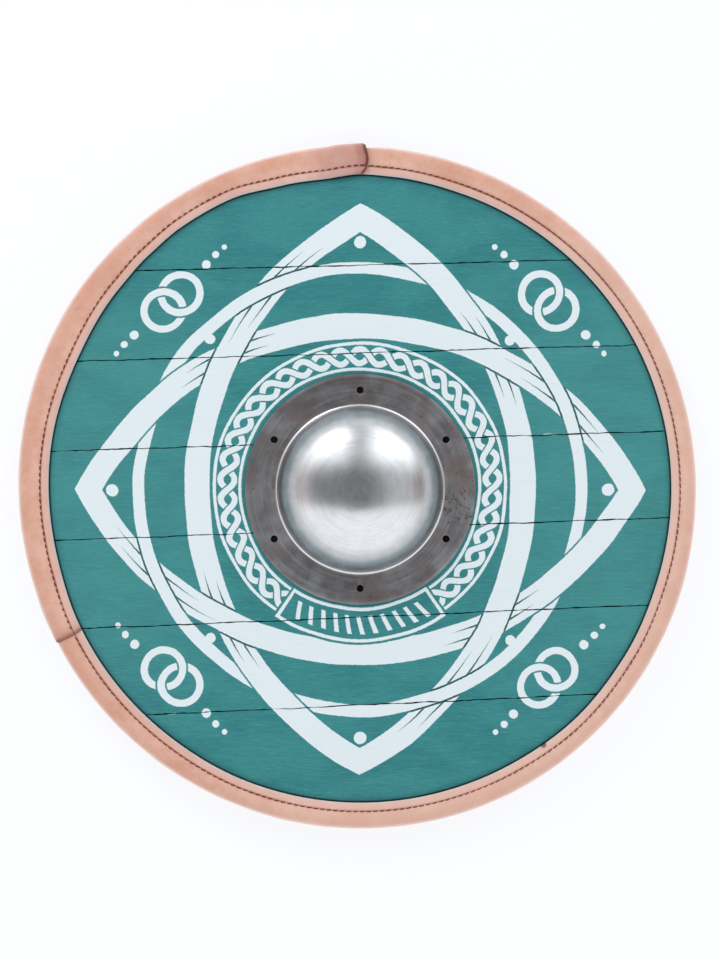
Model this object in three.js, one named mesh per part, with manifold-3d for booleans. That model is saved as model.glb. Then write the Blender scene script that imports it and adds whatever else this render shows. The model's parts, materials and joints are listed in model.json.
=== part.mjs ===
import * as THREE from "three";
import { mergeVertices } from "three/addons/utils/BufferGeometryUtils.js";
import Module from "manifold-3d";

// A round wooden shield, lying face up. Millimetres, +Z up, +Y towards the top of the face.
// The origin is under the middle of the round, on the plane that the shield rests on.

// Whole shield
const shieldRadius = 305; // over the leather
const fitGap = 0.3; // left between pieces that touch
const faceShiftX = 2.6; // boss and leather edge sit a little off the middle of the round
const faceShiftY = -1.7;

// Boards
const plankCount = 7;
const plankWidth = 78.8;
const plankThickness = 10;
const seamGap = 0.6;
const seamShift = 1.9; // the middle of all the seams lies this far above the middle of the round
const topSeamSlope = 0.0256; // rise over run of the highest seam
const seamSlopeStep = 0.004; // each plank tapers, so the next seam down is steeper by this
const handHoleMargin = 15; // the hand hole's edge lies this far inside the foot of the dome

// Steel boss
const domeFootRadius = 77.1;
const domeFootFillet = 3.6;
const bossHeight = 48; // dome above the flange
const bossThickness = 1.8;
const flangeWidth = 26.1;
const flangeEdgeBevel = 0.5;

// Nails that hold the boss
const nailCount = 6;
const nailInset = 14.5; // from the flange's edge to the nail's axis
const nailShankRadius = 1.8;
const nailHeadRadius = 3.1;
const nailHeadRecess = 0.3;
const nailLegLength = 9; // the end that is bent over at the back
const nailLegRadius = 1.4;
const nailPointRadius = 0.5;

// Grip and battens on the back
const gripThickness = 15.5;
const gripThinThickness = 10.5; // either side of the hand hole
const gripEndThickness = 7;
const gripHandleWidth = 28;
const gripWidth = 34;
const gripEndWidth = 26;
const gripEndLength = 60;
const gripHandleRound = 6;
const battenThickness = 16;
const battenWidth = 32;
const battenInset = 157.1; // from the board's edge to the batten's middle line
const battenEndThickness = 9;
const battenEndLength = 16;
const barEdgeRound = 2;
const backClearance = 4; // from the ends of the grip and battens to the leather

// Leather rim
const leatherThickness = 2.6;
const faceLap = 25.8; // width of the leather on the face
const backLap = 28; // and on the back
const leatherEdgeBevel = 0.6;
const rimRoundShare = 1.9; // the outer corners' radius in leather thicknesses
const topJointDegrees = 89.1;
const sideJointDegrees = 207.3;
const jointLap = 22; // the long strip runs this far under the short one
const jointRamp = 14;
const skivedThickness = 1.2; // the long strip is pared to this under the lap
const skiveLength = 10;

// How finely round shapes are cut into flats
const rimStepDegrees = 4;
const rimCornerSteps = 3;
const handHoleSides = 48;
const bossSides = 48;
const domeSteps = 9;
const filletSteps = 3;
const nailSides = 14;
const barCornerSteps = 2;
const weldDistance = 1e-4;
const cutBeyond = 1; // a cutting tool reaches this far past the face that it cuts

const fullTurn = 2 * Math.PI;
const quarterTurn = Math.PI / 2;
const rimStep = THREE.MathUtils.degToRad(rimStepDegrees);

// Heights, from the resting plane up
const plankBottom = Math.max(battenThickness, gripThickness) + fitGap;
const plankTop = plankBottom + plankThickness;
const flangeBottom = plankTop + fitGap;
const backTop = plankBottom - fitGap; // upper face of the grip and the battens

// Radii
const boardRadius = shieldRadius - leatherThickness - fitGap;
const handHoleRadius = domeFootRadius - handHoleMargin;
const flangeRadius = domeFootRadius + flangeWidth;
const nailCircleRadius = flangeRadius - nailInset;
const backEdgeRadius = shieldRadius - backLap;
const battenOffset = boardRadius - battenInset;
const drillRadius = nailShankRadius + fitGap;
const countersinkRadius = nailHeadRadius + fitGap;

// Solids for joining and cutting
const wasm = await Module();
wasm.setup();

function solidOf(geometry) {
  const bare = geometry.clone();
  bare.deleteAttribute("normal");
  bare.deleteAttribute("uv");
  const merged = mergeVertices(bare, weldDistance);
  return new wasm.Manifold(
    new wasm.Mesh({
      numProp: 3,
      vertProperties: merged.getAttribute("position").array,
      triVerts: new Uint32Array(merged.index.array),
    }),
  );
}

function geometryOf(solid) {
  const mesh = solid.getMesh();
  const geometry = new THREE.BufferGeometry();
  geometry.setAttribute("position", new THREE.BufferAttribute(mesh.vertProperties, 3));
  geometry.setIndex(new THREE.BufferAttribute(mesh.triVerts, 1));
  return geometry;
}

function named(name, geometry, colour, roughness, metalness) {
  const material = new THREE.MeshStandardMaterial({
    color: colour,
    roughness,
    metalness,
    flatShading: true,
  });
  const mesh = new THREE.Mesh(geometry, material);
  mesh.name = name;
  return mesh;
}

// A round or tapered peg standing along Z, from one height to another.
function peg(lowRadius, highRadius, low, high, sides) {
  const geometry = new THREE.CylinderGeometry(highRadius, lowRadius, high - low, sides);
  return geometry.rotateX(quarterTurn).translate(0, 0, (low + high) / 2);
}

// A closed skin through a row of sections with equal numbers of points. Each section is a
// counter-clockwise outline of (across, up) pairs, and place sets one of its points in space.
function loft(sections) {
  const count = sections[0].outline.length;
  const positions = [];
  const faces = [];
  for (const { outline, place } of sections) {
    outline.forEach((point) => positions.push(...place(point).toArray()));
  }
  for (let row = 0; row < sections.length - 1; row++) {
    for (let column = 0; column < count; column++) {
      const near = row * count + column;
      const nearNext = row * count + ((column + 1) % count);
      faces.push(near, near + count, nearNext);
      faces.push(nearNext, near + count, nearNext + count);
    }
  }
  const last = (sections.length - 1) * count;
  for (const [a, b, c] of THREE.ShapeUtils.triangulateShape(sections[0].outline, [])) {
    faces.push(a, b, c);
  }
  for (const [a, b, c] of THREE.ShapeUtils.triangulateShape(sections.at(-1).outline, [])) {
    faces.push(last + a, last + c, last + b);
  }
  const geometry = new THREE.BufferGeometry();
  geometry.setAttribute("position", new THREE.Float32BufferAttribute(positions, 3));
  geometry.setIndex(faces);
  return geometry;
}

// The points of a quarter arc, ends included.
function quarterArc(across, up, radius, startAngle, steps) {
  return Array.from({ length: steps + 1 }, (_, i) => {
    const angle = startAngle + (quarterTurn * i) / steps;
    return new THREE.Vector2(across + radius * Math.cos(angle), up + radius * Math.sin(angle));
  });
}

// Nails stand on a circle about the boss's middle.
function nailPlaces() {
  return Array.from({ length: nailCount }, (_, i) => {
    const angle = quarterTurn + (fullTurn * i) / nailCount;
    const x = faceShiftX + nailCircleRadius * Math.cos(angle);
    const y = faceShiftY + nailCircleRadius * Math.sin(angle);
    const underGrip = Math.abs(x - faceShiftX) < gripWidth / 2;
    return { angle, x, y, underGrip };
  });
}

function nailDrills(low, high) {
  return nailPlaces().map(({ x, y }) =>
    solidOf(peg(drillRadius, drillRadius, low, high, nailSides).translate(x, y, 0)),
  );
}

// Boards
// A seam is a slightly tilted line across the round. Its ends are where the edge of a plank,
// half a gap away from it, leaves the round.
function seamEnds(index, side) {
  const slope = topSeamSlope + index * seamSlopeStep;
  const middle = seamShift + ((plankCount - 2) / 2 - index) * plankWidth + (side * seamGap) / 2;
  const steepness = 1 + slope ** 2;
  const reach = Math.sqrt(steepness * boardRadius ** 2 - middle ** 2);
  const angleAt = (x) => Math.atan2(middle + slope * x, x);
  return {
    right: angleAt((-slope * middle + reach) / steepness),
    left: (angleAt((-slope * middle - reach) / steepness) + fullTurn) % fullTurn,
  };
}

function plankShape(index) {
  const shape = new THREE.Shape();
  const above = index > 0 ? seamEnds(index - 1, -1) : null;
  const below = index < plankCount - 1 ? seamEnds(index, 1) : null;
  if (!above) {
    shape.absarc(0, 0, boardRadius, below.right, below.left, false);
  } else if (!below) {
    shape.absarc(0, 0, boardRadius, above.left, above.right + fullTurn, false);
  } else {
    shape.absarc(0, 0, boardRadius, below.right, above.right, false);
    shape.absarc(0, 0, boardRadius, above.left, below.left, false);
  }
  return shape;
}

function plankSolid(index) {
  const outermost = index === 0 || index === plankCount - 1;
  const arc = outermost ? Math.PI : plankWidth / (boardRadius / 2);
  const plate = new THREE.ExtrudeGeometry(plankShape(index), {
    depth: plankThickness,
    bevelEnabled: false,
    curveSegments: Math.ceil(arc / rimStep),
  });
  const low = plankBottom - cutBeyond;
  const high = plankTop + cutBeyond;
  const handHole = peg(handHoleRadius, handHoleRadius, low, high, handHoleSides);
  let solid = solidOf(plate.translate(0, 0, plankBottom));
  solid = solid.subtract(solidOf(handHole.translate(faceShiftX, faceShiftY, 0)));
  for (const drill of nailDrills(low, high)) {
    solid = solid.subtract(drill);
  }
  return solid;
}

// The half of a plank on one side of the hand hole's middle.
function halfOf(solid, side) {
  const block = new THREE.BoxGeometry(2 * shieldRadius, 2 * shieldRadius, 4 * plankTop);
  return solid.intersect(solidOf(block.translate(faceShiftX + side * shieldRadius, 0, 0)));
}

function boards() {
  const group = new THREE.Group();
  const paint = "#43888a";
  const crossing = (plankCount - 1) / 2;
  for (let index = 0; index < plankCount; index++) {
    const solid = plankSolid(index);
    const name = `plank_${index + 1}`;
    if (index === crossing) {
      group.add(named(`${name}_left`, geometryOf(halfOf(solid, -1)), paint, 0.7, 0));
      group.add(named(`${name}_right`, geometryOf(halfOf(solid, 1)), paint, 0.7, 0));
    } else {
      group.add(named(name, geometryOf(solid), paint, 0.7, 0));
    }
  }
  return group;
}

// Boss: one wall thickness from the apex to the flange's edge. Heights are from the flange's
// underside.
function bossWall(offset) {
  const middle = bossThickness + domeFootFillet;
  const across = domeFootRadius - domeFootFillet - offset;
  const rise = bossHeight - domeFootFillet - offset;
  const points = [];
  for (let i = 0; i <= domeSteps; i++) {
    const angle = (quarterTurn * i) / domeSteps;
    points.push(new THREE.Vector2(across * Math.sin(angle), middle + rise * Math.cos(angle)));
  }
  const foot = quarterArc(domeFootRadius, middle, domeFootFillet + offset, Math.PI, filletSteps);
  return points.concat(foot.slice(1));
}

function bossGeometry() {
  const edge = [
    new THREE.Vector2(flangeRadius, 0),
    new THREE.Vector2(flangeRadius, bossThickness - flangeEdgeBevel),
    new THREE.Vector2(flangeRadius - flangeEdgeBevel, bossThickness),
  ];
  const profile = bossWall(bossThickness).concat(edge, bossWall(0).reverse());
  const turned = new THREE.LatheGeometry(profile, bossSides).rotateX(quarterTurn);
  let solid = solidOf(turned);
  // The countersunk holes narrow from the nail's head at the top to its shank below.
  const taper = (countersinkRadius - drillRadius) / bossThickness;
  const tool = peg(
    drillRadius - taper * cutBeyond,
    countersinkRadius + taper * cutBeyond,
    -cutBeyond,
    bossThickness + cutBeyond,
    nailSides,
  );
  for (const { x, y } of nailPlaces()) {
    solid = solid.subtract(solidOf(tool.clone().translate(x - faceShiftX, y - faceShiftY, 0)));
  }
  return geometryOf(solid);
}

// A nail about its own axis, its bent leg pointing along X. Heights are from the flange's
// underside, and underside is the face that the leg is bent against.
function nailGeometry(underside) {
  const headTop = bossThickness - nailHeadRecess;
  const legTop = underside - flangeBottom - fitGap;
  const legMiddle = legTop - nailLegRadius;
  const taper = (nailHeadRadius - nailShankRadius) / bossThickness;
  const profile = [
    new THREE.Vector2(0, legMiddle - nailLegRadius),
    new THREE.Vector2(nailShankRadius, legMiddle - nailLegRadius),
    new THREE.Vector2(nailShankRadius, 0),
    new THREE.Vector2(nailShankRadius + taper * headTop, headTop),
    new THREE.Vector2(0, headTop),
  ];
  const shank = new THREE.LatheGeometry(profile, nailSides).rotateX(quarterTurn);
  const leg = new THREE.CylinderGeometry(nailLegRadius, nailPointRadius, nailLegLength, nailSides);
  leg.rotateZ(quarterTurn).translate(nailLegLength / 2, 0, legMiddle);
  return geometryOf(solidOf(shank).add(solidOf(leg)));
}

function boss() {
  const group = new THREE.Group();
  group.position.set(faceShiftX, faceShiftY, flangeBottom);
  group.add(named("boss", bossGeometry(), "#b4b8bd", 0.3, 1));
  nailPlaces().forEach(({ angle, x, y, underGrip }, i) => {
    const underside = underGrip ? backTop - gripThinThickness : plankBottom;
    const nail = named(`boss_nail_${i + 1}`, nailGeometry(underside), "#1d1b1b", 0.6, 0.8);
    nail.position.set(x - faceShiftX, y - faceShiftY, 0);
    nail.rotation.z = angle;
    group.add(nail);
  });
  return group;
}

// Grip and battens: bars along Y with rounded corners, whose upper face lies under the planks.
function barSection({ y, width, thickness, lowRound, highRound }) {
  const half = width / 2;
  const low = backTop - thickness;
  const corner = (side, up, round, startAngle) =>
    quarterArc(
      side * (half - round),
      up > 0 ? backTop - round : low + round,
      round,
      startAngle,
      barCornerSteps,
    );
  return {
    outline: [
      ...corner(-1, -1, lowRound, Math.PI),
      ...corner(1, -1, lowRound, 3 * quarterTurn),
      ...corner(1, 1, highRound, 0),
      ...corner(-1, 1, highRound, quarterTurn),
    ],
    place: (point) => new THREE.Vector3(point.x, y, point.y),
  };
}

// Half the length of a bar whose outer corner ends short of the leather on the back.
function barHalfLength(offset, width) {
  return Math.sqrt((backEdgeRadius - backClearance) ** 2 - (Math.abs(offset) + width / 2) ** 2);
}

function gripGeometry() {
  const half = barHalfLength(faceShiftX, gripEndWidth);
  const shoulder = (handHoleRadius + nailCircleRadius - nailShankRadius) / 2;
  const thin = { lowRound: barEdgeRound, highRound: barEdgeRound / 2 };
  const end = { ...thin, width: gripEndWidth, thickness: gripEndThickness };
  const middle = { ...thin, width: gripWidth, thickness: gripThinThickness };
  const handle = {
    width: gripHandleWidth,
    thickness: gripThickness,
    lowRound: gripHandleRound,
    highRound: gripHandleRound,
  };
  const handleHalf = handHoleRadius - gripHandleRound;
  const sections = [
    { y: -half, ...end },
    { y: gripEndLength - half, ...middle },
    { y: faceShiftY - shoulder, ...middle },
    { y: faceShiftY - handleHalf, ...handle },
    { y: faceShiftY + handleHalf, ...handle },
    { y: faceShiftY + shoulder, ...middle },
    { y: half - gripEndLength, ...middle },
    { y: half, ...end },
  ].map(barSection);
  let solid = solidOf(loft(sections).translate(faceShiftX, 0, 0));
  for (const drill of nailDrills(-cutBeyond, plankBottom)) {
    solid = solid.subtract(drill);
  }
  return geometryOf(solid);
}

function battenGeometry() {
  const half = barHalfLength(battenOffset, battenWidth);
  const edges = { width: battenWidth, lowRound: barEdgeRound, highRound: barEdgeRound / 2 };
  const end = { ...edges, thickness: battenEndThickness };
  const middle = { ...edges, thickness: battenThickness };
  const sections = [
    { y: -half, ...end },
    { y: battenEndLength - half, ...middle },
    { y: half - battenEndLength, ...middle },
    { y: half, ...end },
  ].map(barSection);
  return loft(sections);
}

function back() {
  const group = new THREE.Group();
  const wood = "#b58a5a";
  group.add(named("grip", gripGeometry(), wood, 0.75, 0));
  for (const [name, side] of [["batten_left", -1], ["batten_right", 1]]) {
    const batten = named(name, battenGeometry(), wood, 0.75, 0);
    batten.position.x = side * battenOffset;
    group.add(batten);
  }
  return group;
}

// Leather rim: two strips folded over the edge of the boards.
// Distance from the middle of the round to the leather's edge on the face.
function faceEdgeRadius(angle) {
  const along = faceShiftX * Math.cos(angle) + faceShiftY * Math.sin(angle);
  const edge = shieldRadius - faceLap;
  return along + Math.sqrt(edge ** 2 - faceShiftX ** 2 - faceShiftY ** 2 + along ** 2);
}

// The folded strip's section at one angle. lift raises it all round, to pass over another strip.
function rimSection(angle, thickness, lift) {
  const innerWeb = boardRadius + fitGap + lift;
  const innerTop = plankTop + fitGap + lift;
  const innerBottom = plankBottom - fitGap - lift;
  const outer = innerWeb + thickness;
  const top = innerTop + thickness;
  const bottom = innerBottom - thickness;
  const round = Math.min(rimRoundShare * thickness, (top - bottom) / 2);
  const faceEdge = faceEdgeRadius(angle);
  const bevel = Math.min(leatherEdgeBevel, thickness / 2);
  return {
    outline: [
      new THREE.Vector2(faceEdge, innerTop),
      new THREE.Vector2(innerWeb, innerTop),
      new THREE.Vector2(innerWeb, innerBottom),
      new THREE.Vector2(backEdgeRadius, innerBottom),
      new THREE.Vector2(backEdgeRadius, bottom),
      ...quarterArc(outer - round, bottom + round, round, -quarterTurn, rimCornerSteps),
      ...quarterArc(outer - round, top - round, round, 0, rimCornerSteps),
      new THREE.Vector2(faceEdge + bevel, top),
      new THREE.Vector2(faceEdge, top - bevel),
    ],
    place: (point) =>
      new THREE.Vector3(point.x * Math.cos(angle), point.x * Math.sin(angle), point.y),
  };
}

// Sections between a row of marks, no further apart than the rim's step. Thickness and lift
// change evenly from one mark to the next.
function rimGeometry(marks) {
  const sections = [];
  for (let i = 0; i < marks.length - 1; i++) {
    const from = marks[i];
    const to = marks[i + 1];
    const steps = Math.ceil((to.angle - from.angle) / rimStep);
    for (let step = i === 0 ? 0 : 1; step <= steps; step++) {
      const at = (key) => THREE.MathUtils.lerp(from[key], to[key], step / steps);
      sections.push(rimSection(at("angle"), at("thickness"), at("lift")));
    }
  }
  return loft(sections);
}

function rim() {
  const group = new THREE.Group();
  const leather = "#d8aa98";
  const top = THREE.MathUtils.degToRad(topJointDegrees);
  const side = THREE.MathUtils.degToRad(sideJointDegrees);
  const lap = jointLap / shieldRadius;
  const ramp = jointRamp / shieldRadius;
  const skive = skiveLength / shieldRadius;
  const margin = fitGap / shieldRadius;
  const full = { thickness: leatherThickness, lift: 0 };
  const pared = { thickness: skivedThickness, lift: 0 };
  const raised = { thickness: leatherThickness, lift: skivedThickness + fitGap };
  const long = [
    { angle: side - lap, ...pared },
    { angle: side, ...pared },
    { angle: side + skive, ...full },
    { angle: top + fullTurn - skive, ...full },
    { angle: top + fullTurn, ...pared },
    { angle: top + fullTurn + lap, ...pared },
  ];
  const short = [
    { angle: top, ...raised },
    { angle: top + lap + margin, ...raised },
    { angle: top + lap + ramp, ...full },
    { angle: side - lap - ramp, ...full },
    { angle: side - lap - margin, ...raised },
    { angle: side, ...raised },
  ];
  group.add(named("rim_leather_long", rimGeometry(long), leather, 0.65, 0));
  group.add(named("rim_leather_short", rimGeometry(short), leather, 0.65, 0));
  return group;
}

const shield = new THREE.Group();
shield.add(boards(), boss(), back(), rim());

export default shield;
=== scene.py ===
"""Wooden round shield, lying face up: planks, steel boss, leather rim, grip and battens."""
import json
import math
import random

import bmesh
import bpy
from mathutils import Matrix, Vector

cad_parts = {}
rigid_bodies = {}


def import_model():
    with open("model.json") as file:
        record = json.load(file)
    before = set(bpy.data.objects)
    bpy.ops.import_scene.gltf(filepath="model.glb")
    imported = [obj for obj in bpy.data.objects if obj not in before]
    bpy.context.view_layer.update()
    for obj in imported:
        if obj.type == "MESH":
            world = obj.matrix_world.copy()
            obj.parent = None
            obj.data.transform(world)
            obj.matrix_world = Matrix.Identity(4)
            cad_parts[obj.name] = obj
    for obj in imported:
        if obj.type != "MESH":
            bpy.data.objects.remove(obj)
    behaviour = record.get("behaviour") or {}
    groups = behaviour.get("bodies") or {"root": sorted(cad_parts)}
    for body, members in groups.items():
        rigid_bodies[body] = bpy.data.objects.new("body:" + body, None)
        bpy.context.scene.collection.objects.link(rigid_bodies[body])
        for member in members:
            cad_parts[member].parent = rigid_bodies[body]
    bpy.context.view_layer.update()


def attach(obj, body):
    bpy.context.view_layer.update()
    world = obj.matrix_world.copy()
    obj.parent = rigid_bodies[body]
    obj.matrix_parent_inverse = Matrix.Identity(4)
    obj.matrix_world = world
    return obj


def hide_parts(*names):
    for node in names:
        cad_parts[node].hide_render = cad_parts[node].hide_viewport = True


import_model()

random.seed(11)
MM = 0.001

# Sizes in millimetres, as in the part's source.
SHIELD_RADIUS = 305.0
FIT_GAP = 0.3
FACE_SHIFT = Vector((2.6, -1.7, 0.0))
PLANK_COUNT = 7
PLANK_WIDTH = 78.8
PLANK_THICKNESS = 10.0
PLANK_BOTTOM = 16.3
PLANK_TOP = PLANK_BOTTOM + PLANK_THICKNESS
SEAM_SHIFT = 1.9
TOP_SEAM_SLOPE = 0.0256
SEAM_SLOPE_STEP = 0.004
BOARD_RADIUS = 302.1
HAND_HOLE_RADIUS = 62.1
DOME_FOOT_RADIUS = 77.1
DOME_FILLET = 3.6
BOSS_HEIGHT = 48.0
BOSS_THICKNESS = 1.8
FLANGE_BOTTOM = PLANK_TOP + FIT_GAP
FLANGE_TOP = FLANGE_BOTTOM + BOSS_THICKNESS
FLANGE_RADIUS = 103.2
NAIL_CIRCLE_RADIUS = 88.7
NAIL_COUNT = 6
NAIL_SHANK_RADIUS = 1.8
NAIL_HEAD_RADIUS = 3.1
NAIL_HEAD_RECESS = 0.3
NAIL_LEG_LENGTH = 9.0
NAIL_LEG_RADIUS = 1.4
BACK_TOP = PLANK_BOTTOM - FIT_GAP
GRIP_THICKNESS = 15.5
GRIP_THIN_THICKNESS = 10.5
GRIP_END_THICKNESS = 7.0
GRIP_HANDLE_WIDTH = 28.0
GRIP_WIDTH = 34.0
GRIP_END_WIDTH = 26.0
GRIP_END_LENGTH = 60.0
GRIP_HANDLE_ROUND = 6.0
BATTEN_THICKNESS = 16.0
BATTEN_WIDTH = 32.0
BATTEN_OFFSET = 145.0
BATTEN_END_THICKNESS = 9.0
BATTEN_END_LENGTH = 16.0
BAR_EDGE_ROUND = 2.0
BACK_EDGE_RADIUS = 277.0
BACK_CLEARANCE = 4.0
FACE_EDGE_RADIUS = 279.2
STITCH_RADIUS = 287.1
STITCH_PITCH = 5.9
TOP_JOINT = math.radians(89.1)
SIDE_JOINT = math.radians(207.3)
FULL_TURN = 2 * math.pi

# Lengths along the joints of the leather, as angles, and what the joints add or take there.
JOINT_LAP = 22.0 / SHIELD_RADIUS
JOINT_RAMP = 14.0 / SHIELD_RADIUS
SKIVE_LENGTH = 24.0 / SHIELD_RADIUS
TIP_WIDTH = 2.4 / SHIELD_RADIUS
PARED_AWAY = 1.4
JOINT_LIFT = 1.5
END_LIFT = 1.0
END_THINNED = 0.5


# Ways of working

def start():
    """Object mode, with nothing selected."""
    if bpy.context.mode != "OBJECT":
        bpy.ops.object.mode_set(mode="OBJECT")
    bpy.ops.object.select_all(action="DESELECT")


def take(piece):
    start()
    piece.select_set(True)
    bpy.context.view_layer.objects.active = piece


def enter(piece):
    take(piece)
    bpy.ops.object.mode_set(mode="EDIT")
    bpy.ops.mesh.select_all(action="SELECT")


def call(piece, name):
    piece.name = name
    piece.data.name = name
    return piece


def settle(name):
    """The new primitive gets its name, and its place goes into its mesh."""
    bpy.ops.object.transform_apply(location=True, rotation=True, scale=True)
    return call(bpy.context.object, name)


def choose(piece, test, kind="verts"):
    """In edit mode, selects the parts whose place in millimetres passes the test."""
    mesh = bmesh.from_edit_mesh(piece.data)
    for parts in (mesh.verts, mesh.edges, mesh.faces):
        for part in parts:
            part.select = False
    chosen = 0
    for part in list(getattr(mesh, kind)):
        if kind == "verts":
            passes = test(part.co / MM)
        elif kind == "edges":
            passes = test(part.verts[0].co / MM, part.verts[1].co / MM)
        else:
            passes = test(part.calc_center_median() / MM)
        if passes:
            part.select_set(True)
            chosen += 1
    if kind == "verts":
        mesh.select_mode = {"VERT"}
        mesh.select_flush_mode()
    bmesh.update_edit_mesh(piece.data)
    return chosen


def finish_with(piece, kind, **settings):
    """One modifier, added and applied."""
    take(piece)
    modifier = piece.modifiers.new(kind.lower(), kind)
    for name, value in settings.items():
        setattr(modifier, name, value)
    bpy.ops.object.modifier_apply(modifier=modifier.name)


def ease_edges(piece, width, degrees):
    """Bevels the edges that are sharper than an angle."""
    finish_with(
        piece,
        "BEVEL",
        width=width * MM,
        segments=2,
        limit_method="ANGLE",
        angle_limit=math.radians(degrees),
    )


def smooth(piece, degrees):
    take(piece)
    bpy.ops.object.shade_smooth_by_angle(angle=math.radians(degrees))


def tidy_shell():
    bpy.ops.mesh.select_all(action="SELECT")
    bpy.ops.mesh.remove_doubles(threshold=0.02 * MM)
    bpy.ops.mesh.normals_make_consistent(inside=False)


def trace(name, points):
    """A line through points in millimetres, each one extruded from the one before."""
    start()
    bpy.ops.mesh.primitive_plane_add(size=1 * MM)
    piece = call(bpy.context.object, name)
    enter(piece)
    bpy.ops.mesh.merge(type="CENTER")
    bpy.ops.transform.translate(value=Vector(points[0]) * MM)
    for near, far in zip(points, points[1:]):
        step = (Vector(far) - Vector(near)) * MM
        bpy.ops.mesh.extrude_region_move(TRANSFORM_OT_translate={"value": step})
    return piece


def spin(steps, angle, centre=(0.0, 0.0, 0.0), axis=(0.0, 0.0, 1.0)):
    """Turns what is selected about an axis, counter-clockwise as seen from the axis's tip."""
    bpy.ops.mesh.spin(steps=steps, angle=-angle, center=Vector(centre) * MM, axis=axis)


def drum(name, radius, low, high, centre, sides):
    """An upright cylinder between two heights."""
    start()
    bpy.ops.mesh.primitive_cylinder_add(
        vertices=sides,
        radius=radius * MM,
        depth=(high - low) * MM,
        location=Vector((centre[0], centre[1], (low + high) / 2)) * MM,
    )
    return settle(name)


def cut_away(piece, tool):
    finish_with(piece, "BOOLEAN", object=tool, operation="DIFFERENCE", solver="EXACT")
    bpy.data.objects.remove(tool)


def mark(piece, name, rule):
    """A number on every vertex, worked out from its place in millimetres."""
    start()
    values = piece.data.attributes.new(name, "FLOAT", "POINT")
    for vertex in piece.data.vertices:
        values.data[vertex.index].value = rule(vertex.co / MM)


def reshape(piece, rule):
    """Moves every vertex by a rule on its place, where a piece was bent or pulled by hand."""
    start()
    for vertex in piece.data.vertices:
        vertex.co = rule(vertex.co / MM) * MM


def weigh(piece, name, rule):
    start()
    group = piece.vertex_groups.new(name=name)
    for vertex in piece.data.vertices:
        weight = rule(vertex.co / MM)
        if weight > 0:
            group.add([vertex.index], weight, "REPLACE")


def unevenness(name, size):
    texture = bpy.data.textures.new(name, "CLOUDS")
    texture.noise_scale = size * MM
    texture.noise_depth = 1
    return texture


def ease(value, low, high):
    """0 below low, 1 above high, and a smooth rise between them."""
    t = min(max((value - low) / (high - low), 0.0), 1.0)
    return t * t * (3 - 2 * t)


def dress(piece, material, slot, *nodes):
    piece.data.materials.clear()
    piece.data.materials.append(material)
    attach(piece, "root")
    if nodes:
        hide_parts(*nodes)


# Finishes

class Shade:
    """A node's output that takes part in sums as a number does."""

    def __init__(self, finish, socket):
        self.finish = finish
        self.socket = socket

    def sum(self, operation, *others):
        values = dict(enumerate(others))
        return self.finish.node("ShaderNodeMath", {"operation": operation}, values)

    def apply(self, operation):
        return self.sum(operation, self)

    def __add__(self, other):
        return self.sum("ADD", self, other)

    def __radd__(self, other):
        return self.sum("ADD", other, self)

    def __sub__(self, other):
        return self.sum("SUBTRACT", self, other)

    def __rsub__(self, other):
        return self.sum("SUBTRACT", other, self)

    def __mul__(self, other):
        return self.sum("MULTIPLY", self, other)

    def __rmul__(self, other):
        return self.sum("MULTIPLY", other, self)

    def __truediv__(self, other):
        return self.sum("DIVIDE", self, other)

    def __neg__(self):
        return self.sum("MULTIPLY", self, -1.0)

    def __abs__(self):
        return self.apply("ABSOLUTE")

    def __gt__(self, other):
        return self.sum("GREATER_THAN", self, other)

    def __lt__(self, other):
        return self.sum("LESS_THAN", self, other)


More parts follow.
